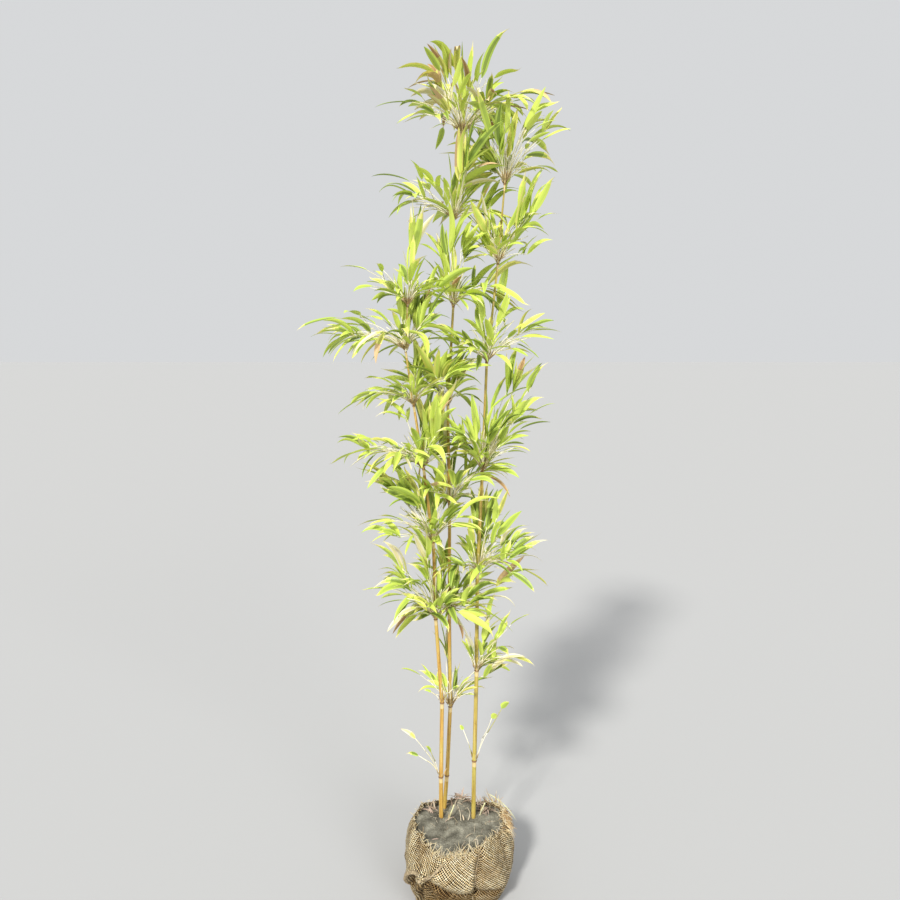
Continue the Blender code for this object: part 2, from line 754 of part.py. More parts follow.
def add_tuft(site, sites, limbs, seed):
    """A tuft: its collar with twigs and leaves grown round it, all in one body."""
    body = add_collar(site)
    growth = GrowingTuft(site, sites, limbs, seed)
    growth.grow()
    fuse(body, growth.pieces)
    tidy_mesh(body)
    return body


def main():
    clear_scene()
    for name, culm in CULMS.items():
        add_culm("culm_" + name, culm)
    add_burlap()
    soil = add_soil()
    cutters = [culm_socket("socket_" + name, culm) for name, culm in CULMS.items()]
    for name in SHOOTS:
        add_shoot(name)
        cutters.append(shoot_socket(name))
    subtract(soil, cutters)
    sites = tuft_sites()
    limbs = limb_stretches()
    for number, site in enumerate(sites):
        add_tuft(site, sites, limbs, TUFT_SEED + number)


main()
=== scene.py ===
"""Looks of a bamboo that stands on its burlap-wrapped root ball.

Metres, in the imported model's frame: +Z up, -Y the front.  The culms, the tufts'
reaches and the ball's outline repeat the named sizes of the part's source, and
the twigs and leaves grow by its rule, carried on to finer ones.
"""
import random
from collections import namedtuple
from math import atan2, cos, degrees, exp, hypot, pi, radians, sin, sqrt, tan

import bpy
import numpy as np
from mathutils import Matrix, Vector, noise
from mathutils.bvhtree import BVHTree


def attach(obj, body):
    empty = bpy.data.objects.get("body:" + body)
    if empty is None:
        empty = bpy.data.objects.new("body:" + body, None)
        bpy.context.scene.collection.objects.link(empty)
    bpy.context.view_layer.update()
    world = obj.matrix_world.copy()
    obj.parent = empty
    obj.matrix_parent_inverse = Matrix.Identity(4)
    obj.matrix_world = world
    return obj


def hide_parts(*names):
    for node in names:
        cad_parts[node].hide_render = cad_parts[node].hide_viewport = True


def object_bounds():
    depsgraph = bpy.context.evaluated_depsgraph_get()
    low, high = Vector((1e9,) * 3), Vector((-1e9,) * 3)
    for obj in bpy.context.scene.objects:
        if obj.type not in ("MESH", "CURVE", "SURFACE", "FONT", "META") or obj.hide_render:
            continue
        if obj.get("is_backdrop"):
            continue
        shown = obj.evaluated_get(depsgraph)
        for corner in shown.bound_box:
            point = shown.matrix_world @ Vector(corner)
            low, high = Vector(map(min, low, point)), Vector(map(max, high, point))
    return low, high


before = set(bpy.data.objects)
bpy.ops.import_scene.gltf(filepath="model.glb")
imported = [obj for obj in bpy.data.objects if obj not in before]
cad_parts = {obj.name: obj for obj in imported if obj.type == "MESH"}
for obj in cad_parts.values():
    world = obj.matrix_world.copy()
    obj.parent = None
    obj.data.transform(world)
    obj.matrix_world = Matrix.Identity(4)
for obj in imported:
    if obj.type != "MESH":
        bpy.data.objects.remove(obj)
cad_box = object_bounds()

# --- sizes repeated from the part's source -----------------------------------

GAP = 0.0003
GOLDEN_ANGLE = radians(137.5)
GOLDEN_SHARE = 0.618

BALL_RADIUS = 0.133
WIDEST_LEVEL = 0.48
FOOT_RADIUS = 0.104
MOUTH_RADIUS = 0.108
MOUTH_CURVE = 2.4
RIM_HEIGHT = 0.181
RIM_DIPS = ((-106, 0.55, 0.013), (90, 0.95, 0.024), (-113, 0.30, 0.009))
RIM_WAVE = 0.003
RIM_WAVES = 5
FOLDS = ((3, 0.9, 0.0, 0.0035), (7, 0.0, 4.0, 0.0022))
SIDE_SWELL = 0.003
SEAM_ANGLE = radians(-70)
SEAM_SPREAD = 0.16
SEAM_DEPTH = 0.006
KNOT_ANGLE = radians(-130)
KNOT_LEVEL = 0.52
KNOT_SPREAD = 0.34
KNOT_RISE = 0.20
KNOT_BULGE = 0.010
SOIL_HEIGHT = 0.171
SOIL_FALL = 0.06
BACK_FALL = 0.35
BACK_EDGE = 0.035
MOUND_PLACE = (0.012, 0.074)
MOUND_RISE = 0.026
MOUND_RADIUS = 0.032

RIDGE_HALF = 0.004
CULM_TAPER = 1.25
CULM_TIP = 0.032
Culm = namedtuple("Culm", "foot back_lean radius tip_radius depth internodes")
CULMS = {
    "left": Culm((-0.042, 0.020), 1.8, 0.0056, 0.0021, -0.04, (
        (0.110, -0.2), (0.199, 0.8), (0.217, -3.9), (0.193, -1.7),
        (0.180, -7.0), (0.152, -8.6), (0.127, -8.0), (0.103, 2.4))),
    "middle": Culm((-0.034, 0.060), 1.7, 0.0054, 0.0020, 0.06, (
        (0.087, 4.3), (0.190, 2.5), (0.248, -0.5), (0.279, 0.1),
        (0.243, -0.9), (0.231, 3.1), (0.194, 0.1), (0.191, 5.6))),
    "right": Culm((0.040, 0.020), 2.2, 0.0057, 0.0021, -0.04, (
        (0.153, 0.6), (0.239, 1.1), (0.250, 0.2), (0.249, 2.4),
        (0.258, 2.0), (0.225, 6.0), (0.177, 4.7))),
}
SHOOTS = {
    "dry_shoot_left": ((-0.024, 0.008), 19.0, 0.056),
    "dry_shoot_right": ((0.056, 0.026), 21.0, 0.048),
}
SHOOT_RADIUS = 0.0018
SHOOT_BACK_LEAN = 3.0
SHOOT_SOCKET = 0.012

Tuft = namedtuple("Tuft", "node left right top low twigs leaves")
TUFTS = {
    "left": (
        Tuft(1, (0.100, 0.137), (0.027, 0.088), (-0.038, 0.116), 0.06, 3, 1),
        Tuft(2, (0.045, 0.040), (0.045, 0.055), (0.000, 0.075), 0.03, 3, 1),
        Tuft(3, (0.182, 0.073), (0.100, 0.060), (-0.042, 0.204), -0.02, 13, 5),
        Tuft(4, (0.183, 0.042), (0.090, 0.106), (-0.067, 0.157), 0.00, 11, 5),
        Tuft(5, (0.223, 0.010), (0.132, 0.072), (-0.081, 0.136), -0.03, 14, 5),
        Tuft(6, (0.179, -0.019), (0.110, 0.058), (0.026, 0.105), -0.04, 11, 5),
        Tuft(7, (0.251, 0.050), (0.105, 0.053), (-0.031, 0.114), -0.03, 12, 5),
        Tuft(8, (0.153, 0.089), (0.090, 0.056), (0.019, 0.155), -0.02, 12, 5)),
    "middle": (
        Tuft(2, (0.128, 0.093), (0.114, 0.072), (0.025, 0.190), 0.00, 7, 4),
        Tuft(3, (0.080, 0.061), (0.169, -0.072), (0.014, 0.139), -0.06, 11, 5),
        Tuft(4, (0.100, 0.100), (0.120, 0.053), (0.006, 0.183), -0.03, 13, 5),
        Tuft(5, (0.080, 0.050), (0.080, 0.036), (0.005, 0.110), -0.01, 9, 4),
        Tuft(6, (0.090, 0.130), (0.110, 0.080), (-0.030, 0.175), -0.01, 13, 5),
        Tuft(7, (0.191, 0.104), (0.110, 0.120), (-0.012, 0.141), 0.00, 13, 5),
        Tuft(8, (0.197, 0.056), (0.177, 0.115), (0.100, 0.210), -0.01, 16, 5)),
    "right": (
        Tuft(1, (0.036, 0.088), (0.085, 0.172), (0.070, 0.177), 0.06, 3, 1),
        Tuft(2, (0.030, 0.079), (0.147, 0.008), (0.129, 0.167), 0.00, 8, 4),
        Tuft(3, (0.080, 0.020), (0.175, -0.041), (0.101, 0.167), -0.03, 12, 5),
        Tuft(4, (0.105, 0.090), (0.170, 0.163), (0.060, 0.260), -0.04, 14, 5),
        Tuft(5, (0.095, 0.070), (0.177, 0.069), (0.086, 0.187), -0.02, 12, 5),
        Tuft(6, (0.085, 0.060), (0.141, 0.114), (0.049, 0.140), 0.00, 11, 5),
        Tuft(7, (0.080, 0.080), (0.145, 0.115), (0.103, 0.201), 0.00, 14, 5)),
}
TUFT_SEED = 7
LEAST_DEPTH = 0.095
DEPTH_SHARE = 0.90
TOP_LEAF_DEPTH = -0.045
HIGHEST_RISE = 0.95
LOWEST_RISE = -0.30
TARGETS_PER_TWIG = 8
TUFT_LIFT = 0.025
COLLAR_WALL = 0.0030
COLLAR_HEIGHT = 0.009
TWIG_ROOT = 0.0013
TWIG_END = 0.0010
TWIG_SIDES = 3
LEAF_SHARE = 0.62
TWIG_LIFT = 0.20
LEAF_SHORTEST = 0.065
LEAF_WIDTH = 0.0220
LEAF_THICKNESS = 0.0018
LEAF_ARCH = 0.11
LEAF_WIDEST = 0.40
LEAF_SINK = 0.0012
KEEL_PLACE = 0.18
LEAF_ROLL = 0.6
FULL_WIDTH_LENGTH = 0.100
LEAF_STEP = 0.013
SPACE_SIDE = 0.25
SPACE_LIFT = 0.4
SPACE_SHARE = 0.3
SPACE_MARGIN = 0.0012
LIMB_MARGIN = 0.0015
SAMPLE_STEP = 0.004
SHORTEST_TWIG = 0.015
SHRINK = 0.96
SWING = 0.14
TWIG_TRIES = 12
FAR_SHARE = 2.0                    # limbs further than this many reaches are passed over
LEAF_TRIES = 14

# --- sizes of the finer growth ------------------------------------------------

FINE_SEED = 500                    # for the first tuft, as COLOUR_SEED; each next adds 1
COLOUR_SEED = 900
CULM_SEED = 11
FRINGE_SEED = 31
CRUMB_SEED = 41
LITTER_SEED = 51
SHOOT_SEED = 61
FINE_SHARE = 2.15                  # finer twigs for each twig of the source
# How many of these some tufts get, over the others.
SPARSE = {("middle", 8): 1.25, ("right", 2): 0.12, ("middle", 2): 0.4, ("left", 3): 0.7}
FINE_AIMS = 12                     # aims tried for each of them
FINE_NEAR = 0.48                   # where these twigs end, as shares of the reach
FINE_FAR = 0.88
FINE_SPREAD = 0.15                 # how much further out they end towards a tuft's top
FINE_LEAN = 0.6                    # how far they follow the tuft's highest leaf
FINE_LEANS = {("middle", 8): 0.005, ("middle", 6): 0.045, ("right", 6): 0.060, ("right", 5): 0.035}
FINE_HIGHEST = 1.0
FINE_LOWEST = -0.05
FINE_LIFT = 0.012
FINE_SINK = 0.032                  # how far their leaves hang below the source's lowest
FINE_REACH = 0.97                  # how far out their leaves go, as a share of the reach
FINE_LEAF = (0.064, 0.124)         # shortest and longest leaf
FINE_DROOP = (-0.20, 1.15)         # how far a leaf hangs below its twig's run, in radians
FINE_TURN = 0.55                   # how far it may turn aside
FINE_SIDE_LEAVES = (1, 2, 2, 3)
FINE_LEAF_TRIES = 8
FINE_STEP = 0.0080                 # between two leaves on a finer twig
FINE_ARCH = (0.06, 0.22)
FINE_ROLL = 0.65
FINE_STEEP_ROLL = 0.75             # more for a leaf that stands steeply
FINE_SLANT = 0.50                  # side leaves point this much higher or lower
FINE_ASIDE = (0.25, 1.15)          # and this far aside, in radians
FINE_SIDE_REACH = (0.75, 1.1)      # their length, over that of the leaf at the end
CLUSTER_LENGTH = 0.082             # a longer leaf of the source becomes a twig with a cluster
CLUSTER_FORK = (0.24, 0.44)        # where its leaves part, along the source's leaf
CLUSTER_LEAVES = (2, 2, 3, 4)
CLUSTER_STEP = 0.006
CLUSTER_REACH = (0.7, 1.15)        # length of these leaves over the end leaf's
CLUSTER_TURN = (0.22, 1.0)
CLUSTER_SINK = (-0.45, 0.40)       # how much lower these leaves point, in radians
# Where the source's leaf parts, and the width of its end, in tufts with one leaf a twig.
LONE_FORKS = {("left", 1): 0.42, ("left", 2): 0.35, ("right", 1): 0.64}
LONE_WIDTHS = {("left", 1): 0.019, ("left", 2): 0.020, ("right", 1): 0.040}
BARE_SHARE = 1.7                   # leafless twigs for each twig of the source
BARE_TRIES = 3
BARE_LIFT = 0.012
BARE_RISE = (0.2, 0.97)            # how high they point, as a share of the tuft's height
BARE_REACH = (0.35, 0.65)
TWIG_CLEAR = 0.60                  # twigs may touch over this share, at their feet
CROWD_CELL = 0.030

BLADE_WIDTH = 0.0185
FRONT_ROLL = 1.25                  # turns the broad side of a steep leaf to the front
STEEP_SLOPE = 0.85                 # slope of such a leaf, in radians
STEEP_FORK = (0.10, 0.20)          # and where its leaves part
BLADE_FULL_LENGTH = 0.105
BLADE_SHOULDER = 0.24              # where a blade is widest, along it
BLADE_ROWS = (0.0, 0.03, 0.08, 0.16, 0.27, 0.40, 0.53, 0.66, 0.77, 0.86, 0.94)
# Across a blade: place over the half width, and height over the fold's.
BLADE_COLUMNS = ((-1.0, 1.0), (-0.48, 0.36), (0.0, 0.0), (0.48, 0.36), (1.0, 1.0))
BLADE_FOLD = 0.34                  # rise of a blade's edges over its half width
STALK_HALF = 0.0006
WITHERED_HOOK = 0.10               # how far a withered point curls, over the blade's length
WITHERED_NARROW = 0.6
BLADE_BOW = 0.07                   # greatest sideways bow of a blade, over its length
BLADE_ARCHING = (0.8, 1.25)
BLADE_CURL = 0.6                   # greatest twist from root to tip, in radians
TWIG_RADII = (0.0013, 0.0009)
STEM_RADII = (0.0009, 0.0006)
LONE_RADII = (0.0013, 0.0010)
TWIG_ROWS = 5
TWIG_BEND = 0.10                   # bow of a twig, over its length
TWIG_WANDER = 0.03
SHEATHS = 13                       # dry sheath strips round a leafy node
FEW_SHEATHS = 4                    # the same at a node with one leaf a twig
SHEATH_LENGTH = (0.008, 0.026)
SHEATH_WIDTH = 0.0095

Site = namedtuple("Site", "culm tuft node axis radius centre reach")
Leaf = namedtuple("Leaf", "root tip roll arch width")


# --- small helpers --------------------------------------------------------------

def linked(name, data):
    made = bpy.data.objects.new(name, data)
    bpy.context.scene.collection.objects.link(made)
    return made


def mesh_of(name, points, faces):
    mesh = bpy.data.meshes.new(name)
    mesh.from_pydata([tuple(point) for point in points], [], faces)
    return mesh


def finish_piece(name, mesh, nodes):
    mesh.shade_smooth()
    made = linked(name, mesh)
    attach(made, "root")
    if nodes:
        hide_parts(*nodes)


class Batch:
    """Many small shapes joined into one mesh, each face with its own material."""

    def __init__(self):
        self.points = []
        self.faces = []
        self.looks = []
        self.materials = []

    def look(self, material):
        if material not in self.materials:
            self.materials.append(material)
        return self.materials.index(material)

    def add(self, points, faces, materials):
        """Add a shape; materials is one material, or one for each face."""
        start = len(self.points)
        self.points.extend(points)
        self.faces.extend([[start + corner for corner in face] for face in faces])
        if isinstance(materials, bpy.types.Material):
            materials = [materials] * len(faces)
        self.looks.extend(self.look(material) for material in materials)

    def piece(self, name, slot, *nodes):
        """The joined mesh as a piece that rides on the plant and stands for nodes."""
        mesh = mesh_of(name, self.points, self.faces)
        for material in self.materials:
            mesh.materials.append(material)
        mesh.polygons.foreach_set("material_index", self.looks)
        finish_piece(name, mesh, nodes)


def bump(value, centre, width):
    return exp(-((value - centre) / width) ** 2)


def alternate(number):
    return 1 if number % 2 else -1


def angle_from(angle, centre):
    return (angle - centre + pi) % (2 * pi) - pi


def cross_axes(direction):
    """Two unit vectors square to a direction, the first one close to +X."""
    across = Vector((1, 0, 0)) - direction * direction.x
    across.normalize()
    return across, direction.cross(across)


def about(turn, across, along):
    return cos(turn) * across + sin(turn) * along


def turns_of(sides):
    return [2 * pi * side / sides for side in range(sides)]


def ring(centre, direction, radius, sides):
    axes = cross_axes(direction)
    return [centre + radius * about(turn, *axes) for turn in turns_of(sides)]


def band(lower, upper, sides):
    faces = []
    for side in range(sides):
        after = (side + 1) % sides
        faces.append((lower + side, lower + after, upper + after, upper + side))
    return faces


def tube_faces(rows, sides):
    """Faces of a closed tube of rings, with its two ends last."""
    faces = []
    for row in range(rows - 1):
        faces += band(row * sides, (row + 1) * sides, sides)
    last = (rows - 1) * sides
    return faces + [tuple(reversed(range(sides))), tuple(range(last, last + sides))]


def grid_faces(rows, width):
    """Faces between rows of points, each so many points wide."""
    lows = [row * width + column for row in range(rows - 1) for column in range(width - 1)]
    return [(low, low + 1, low + width + 1, low + width) for low in lows]


def strand(path, radii, sides, lobes=0, turns=0.0, depth=0.0):
    """Points and faces of a closed tube along a path, turned with the least twist.  Its
    section may have lobes that wind round it, as twisted cloth or twine."""
    points = []
    across = None
    for number, centre in enumerate(path):
        way = (path[min(number + 1, len(path) - 1)] - path[max(number - 1, 0)]).normalized()
        if across is None:
            across = way.orthogonal().normalized()
        across = (across - way * across.dot(way)).normalized()
        along = way.cross(across)
        wind = 2 * pi * turns * number / (len(path) - 1)
        for turn in turns_of(sides):
            reach = radii[number] * (1 + depth * cos(lobes * turn + wind))
            points.append(centre + reach * about(turn, across, along))
    return points, tube_faces(len(path), sides)


# --- materials -------------------------------------------------------------------

WEAVE_MAP = "weave"
# Map of how far the cloth is darkened at each point: mostly painted shade, in each crease, in
# patches and towards the foot.
DARKENING_MAP = "crease"
WHITE = (1.0, 1.0, 1.0)
BLACK = (0.0, 0.0, 0.0)
COLOUR_SOCKETS = (0, 6, 7)         # share and colours among a colour Mix node's inputs


class Look:
    """A material while its nodes are joined up.  Values are numbers or other outputs."""

    def __init__(self, name, roughness, specular=0.5):
        self.material = bpy.data.materials.new(name)
        self.material.use_nodes = True
        self.tree = self.material.node_tree
        self.shader = self.tree.nodes["Principled BSDF"]
        self.shader.inputs["Roughness"].default_value = roughness
        self.shader.inputs["Specular IOR Level"].default_value = specular

    def node(self, kind, *values, **settings):
        made = self.tree.nodes.new("ShaderNode" + kind)
        for name, value in settings.items():
            setattr(made, name, value)
        self.feed(made.inputs, values)
        return made

    def feed(self, sockets, values):
        for socket, value in zip(sockets, values):
            if isinstance(value, bpy.types.NodeSocket):
                self.tree.links.new(value, socket)
            else:
                socket.default_value = value

    def maths(self, operation, *values):
        return self.node("Math", *values, operation=operation).outputs[0]

    def times(self, first, second):
        return self.maths("MULTIPLY", first, second)

    def plus(self, first, second):
        return self.maths("ADD", first, second)

    def less(self, first, second):
        return self.maths("SUBTRACT", first, second)

    def stretched(self, scale):
        """Object coordinates, multiplied along each axis."""
        mapping = self.node("Mapping", self.node("TexCoord").outputs["Object"])
        mapping.inputs["Scale"].default_value = scale
        return mapping.outputs["Vector"]

    def mottle(self, scale, detail, coordinates=None):
        """Noise between 0 and 1."""
        made = self.node("TexNoise", coordinates or self.stretched((1, 1, 1)))
        made.inputs["Scale"].default_value = scale
        made.inputs["Detail"].default_value = detail
        return made.outputs["Fac"]

    def ramp(self, value, *stops):
        """Colours between stops of (place, colour)."""
        made = self.node("ValToRGB", value)
        while len(made.color_ramp.elements) < len(stops):
            made.color_ramp.elements.new(0.5)
        for element, (place, colour) in zip(made.color_ramp.elements, stops):
            element.position = place
            element.color = (*colour, 1.0)
        return made.outputs["Color"]

    def blend(self, mode, share, first, second):
        """Mix of two colours; the second may be a plain colour."""
        made = self.node("Mix", data_type="RGBA", blend_type=mode)
        if isinstance(second, tuple):
            second = (*second, 1.0)
        self.feed([made.inputs[place] for place in COLOUR_SOCKETS], (share, first, second))
        return made.outputs[2]

    def finished(self, colour, height, distance, strength):
        """The material with its colour, and a bump of a height."""
        made = self.node("Bump")
        made.inputs["Distance"].default_value = distance
        made.inputs["Strength"].default_value = strength
        self.tree.links.new(height, made.inputs["Height"])
        self.tree.links.new(made.outputs["Normal"], self.shader.inputs["Normal"])
        self.tree.links.new(colour, self.shader.inputs["Base Color"])
        return self.material


def plain(name, colour, roughness, specular=0.5):
    look = Look(name, roughness, specular)
    look.shader.inputs["Base Color"].default_value = (*colour, 1.0)
    return look.material


def culm_material(name, dark, middle, light, green_share):
    """Bamboo skin: streaks along the culm, flecks and greener patches."""
    look = Look(name, 0.36)
    streaks = look.mottle(1.0, 3.0, look.stretched((260, 260, 7)))
    skin = look.ramp(streaks, (0.30, dark), (0.50, middle), (0.72, light))
    patches = look.mottle(1.0, 2.0, look.stretched((25, 25, 9)))
    green = look.ramp(patches, (0.42, BLACK), (0.72, WHITE))
    skin = look.blend("MIX", look.times(green, green_share), skin, (0.44, 0.42, 0.09))
    flecks = look.mottle(1.0, 2.0, look.stretched((500, 500, 120)))
    worn = look.ramp(flecks, (0.27, (0.42, 0.30, 0.20)), (0.40, WHITE))
    skin = look.blend("MULTIPLY", 0.9, skin, worn)
    return look.finished(skin, streaks, 0.0004, 0.35)


def yarns(look, along, across):
    """One set of yarns across a weave map: wave, height, and how much each one differs."""
    place = look.node("CombineXYZ", look.times(across, 1.7), look.times(along, 0.11))
    uneven = look.mottle(1.0, 2.0, place.outputs[0])
    wave = look.maths("SINE", look.plus(look.times(across, pi), look.times(uneven, 1.5)))
    return wave, look.times(wave, wave), uneven


def burlap_material():
    """Jute: a coarse plain weave of uneven golden-brown yarns, with painted shade in the gaps
    between them, deep in each crease and in patches.
    """
    look = Look("burlap_weave", 0.92, 0.15)
    weave = look.node("UVMap", uv_map=WEAVE_MAP)
    across, up, _ = look.node("SeparateXYZ", weave.outputs["UV"]).outputs
    warp, warp_yarn, warp_uneven = yarns(look, up, across)
    weft, weft_yarn, weft_uneven = yarns(look, across, up)
    gap = look.times(look.less(1.0, warp_yarn), look.less(1.0, weft_yarn))
    gap = look.times(gap, look.plus(look.times(look.mottle(60, 2.0), 1.8), 0.3))
    over = look.times(look.times(warp, weft), 0.25)
    warp_top = look.times(warp_yarn, look.plus(0.75, over))
    weft_top = look.times(weft_yarn, look.less(0.75, over))
    height = look.maths("MAXIMUM", warp_top, weft_top)
    fibre = look.mottle(380, 4.0)
    tone = look.plus(look.times(fibre, 0.45), look.times(warp_uneven, 0.3))
    tone = look.plus(tone, look.times(weft_uneven, 0.25))
    yarn = look.ramp(tone, (0.36, (0.30, 0.21, 0.085)), (0.48, (0.76, 0.60, 0.325)),
                     (0.58, (1.0, 0.95, 0.72)))
    worn = look.ramp(look.mottle(13, 3.0), (0.36, (0.68, 0.60, 0.50)), (0.60, WHITE))
    shade = look.ramp(gap, (0.02, WHITE), (0.14, (0.030, 0.016, 0.006)))
    # Painted shade read from the darkening map: deepest in each crease, some in patches and
    # towards the foot.
    crease = look.node("Attribute", attribute_name=DARKENING_MAP).outputs["Fac"]
    painted_shade = look.ramp(crease, (0.05, WHITE), (1.0, (0.42, 0.34, 0.25)))
    for tint in (worn, shade, painted_shade):
        yarn = look.blend("MULTIPLY", 1.0, yarn, tint)
    return look.finished(yarn, look.plus(height, look.times(fibre, 0.5)), 0.0014, 0.75)


def soil_material():
    """Dry grey-brown soil with pale grains and darker cracks."""
    look = Look("soil_crumb", 1.0, 0.1)
    patches = look.mottle(30, 8.0)
    soil = look.ramp(patches, (0.36, (0.098, 0.092, 0.072)), (0.50, (0.182, 0.173, 0.136)),
                     (0.64, (0.295, 0.282, 0.225)))
    grains = look.mottle(420, 3.0)
    pale = look.ramp(grains, (0.60, BLACK), (0.70, WHITE))
    soil = look.blend("MIX", look.times(pale, 0.4), soil, (0.42, 0.39, 0.30))
    dark = look.ramp(grains, (0.30, (0.45, 0.42, 0.38)), (0.44, WHITE))
    soil = look.blend("MULTIPLY", 1.0, soil, dark)
    return look.finished(soil, look.plus(grains, patches), 0.0022, 0.9)


def cloth_strand_material():
    """Twisted jute, browner than the cloth."""
    look = Look("jute_strand", 0.9)
    fibre = look.mottle(300, 3.0)
    yarn = look.ramp(fibre, (0.34, (0.15, 0.11, 0.060)), (0.64, (0.46, 0.36, 0.22)))
    return look.finished(yarn, fibre, 0.0010, 0.8)


CULM_GOLDEN = culm_material(
    "culm_golden", (0.34, 0.17, 0.030), (0.51, 0.30, 0.06), (0.68, 0.46, 0.15), 0.45)
CULM_OLIVE = culm_material(
    "culm_olive", (0.29, 0.20, 0.035), (0.45, 0.32, 0.065), (0.62, 0.48, 0.16), 0.6)
CULM_SKINS = {"left": CULM_GOLDEN, "middle": CULM_GOLDEN, "right": CULM_OLIVE}
CULM_RING = plain("culm_node_ring", (0.20, 0.10, 0.035), 0.6)
CULM_BLOOM = plain("culm_bloom", (0.63, 0.48, 0.22), 0.7)
BURLAP = burlap_material()
STRAND = cloth_strand_material()
SOIL = soil_material()
JUTE = plain("jute_fibre", (0.74, 0.62, 0.38), 0.8)
JUTE_BROWN = plain("jute_fibre_brown", (0.46, 0.29, 0.13), 0.8)
JUTE_TAN = plain("jute_fibre_tan", (0.62, 0.45, 0.23), 0.8)
ROOT_FIBRE = plain("root_fibre", (0.62, 0.54, 0.40), 0.8)
LITTER_TAN = plain("litter_tan", (0.50, 0.41, 0.29), 0.8)
LITTER_DARK = plain("litter_dark", (0.26, 0.19, 0.13), 0.8)
LITTER_PINK = plain("litter_pink", (0.43, 0.32, 0.25), 0.8)
STRAW = plain("straw", (0.66, 0.64, 0.36), 0.6)
TWIG_PALE = plain("twig_pale", (0.84, 0.79, 0.60), 0.55)
TWIG_STRAW = plain("twig_straw", (0.74, 0.67, 0.40), 0.55)
TWIG_OLIVE = plain("twig_olive", (0.42, 0.40, 0.13), 0.55)
SHEATH_BROWN = plain("sheath_brown", (0.34, 0.20, 0.08), 0.75)
SHEATH_TAN = plain("sheath_tan", (0.58, 0.44, 0.23), 0.75)


def leaf_plain(name, colour, roughness=0.42):
    return plain("leaf_" + name, colour, roughness, 0.32)


LEAF_LIME = leaf_plain("lime", (0.59, 0.69, 0.125))
LEAF_FRESH = leaf_plain("fresh", (0.50, 0.61, 0.10))
LEAF_GREEN = leaf_plain("green", (0.36, 0.47, 0.075))
# A dark green at about half the green's tone: partly the leaves' own colour and partly painted
# shade inside the crown.
LEAF_DEEP_AND_SHADED = leaf_plain("deep_and_shaded", (0.18, 0.25, 0.04))
LEAF_OLIVE = leaf_plain("olive", (0.46, 0.47, 0.10), 0.45)
LEAF_YELLOW = leaf_plain("yellow", (0.74, 0.71, 0.18), 0.45)
LEAF_STRAW = leaf_plain("straw", (0.64, 0.58, 0.30), 0.55)
LEAF_PALE = leaf_plain("pale", (0.72, 0.67, 0.50), 0.60)
LEAF_TAN = leaf_plain("tan", (0.55, 0.38, 0.19), 0.60)
LEAF_BROWN = leaf_plain("brown", (0.38, 0.22, 0.09), 0.65)
# Middle and edge of a sound leaf, and how common each pair is.
LEAF_BODIES = ((LEAF_LIME, LEAF_LIME), (LEAF_FRESH, LEAF_LIME), (LEAF_FRESH, LEAF_FRESH),
               (LEAF_GREEN, LEAF_FRESH), (LEAF_DEEP_AND_SHADED, LEAF_GREEN), (LEAF_OLIVE, LEAF_YELLOW),
               (LEAF_LIME, LEAF_YELLOW))
LEAF_BODY_SHARES = (22, 24, 12, 14, 15, 6, 7)
LOW_BODY_SHARES = (11, 17, 15, 24, 23, 6, 4)    # for the lower tufts, a deeper green, with more of the deep leaves that are partly painted shade
LOW_TUFTS = 4
TWIG_SHARES = (55, 35, 10)         # of pale, straw and olive twigs
FADING = 0.30                      # how common a faded point is on an average leaf
FADE_START = (0.62, 0.88)          # where it starts, and its next colours after that
FADE_STEPS = (0.09, 0.17)


# --- culms -------------------------------------------------------------------------

CULM_SIDES = 18
# Rings at a node: place along the culm and radius over the culm's radius.  The
# sheath scar's edge stands out below a groove, with the swollen ridge above it.
NODE_RINGS = (
    (-0.0140, 1.00), (-0.0050, 1.01), (-0.0012, 1.05), (-0.0004, 1.24), (0.0006, 1.24),
    (0.0013, 1.02), (0.0030, 1.06), (0.0048, 1.17), (0.0066, 1.09), (0.0100, 1.00))
BLOOM_BANDS = (0, 1)               # bands between those rings with a pale bloom
SCAR_BANDS = (3, 4, 5)
INTERNODE_RINGS = 9
GROOVE_DEPTH = 0.07                # flat side of an internode, above its branches
GROOVE_SPREAD = 0.8
SKIN_UNEVEN = 0.008
CULM_SINK = 0.02                   # how far a culm goes on below the soil's top
# Rings above the last node: share of the tip's length, and radius over the tip's.
TIP_RINGS = ((0.5, 0.75), (0.85, 0.5), (1.0, 0.15))


def leaning(aside, back):
    """The way up that leans by these angles, in degrees."""
    return Vector((tan(radians(aside)), tan(radians(back)), 1)).normalized()


def culm_nodes(culm):
    """The culm's foot and each node above it, from bottom to top."""
    places = [Vector((*culm.foot, SOIL_HEIGHT))]
    for length, lean in culm.internodes:
        places.append(places[-1] + length * leaning(lean, culm.back_lean))
    return places


def culm_radius(culm, place):
    nodes = culm_nodes(culm)
    share = (place.z - nodes[0].z) / (nodes[-1].z - nodes[0].z)
    share = min(max(share, 0.0), 1.0)
    return culm.radius + (culm.tip_radius - culm.radius) * share ** CULM_TAPER


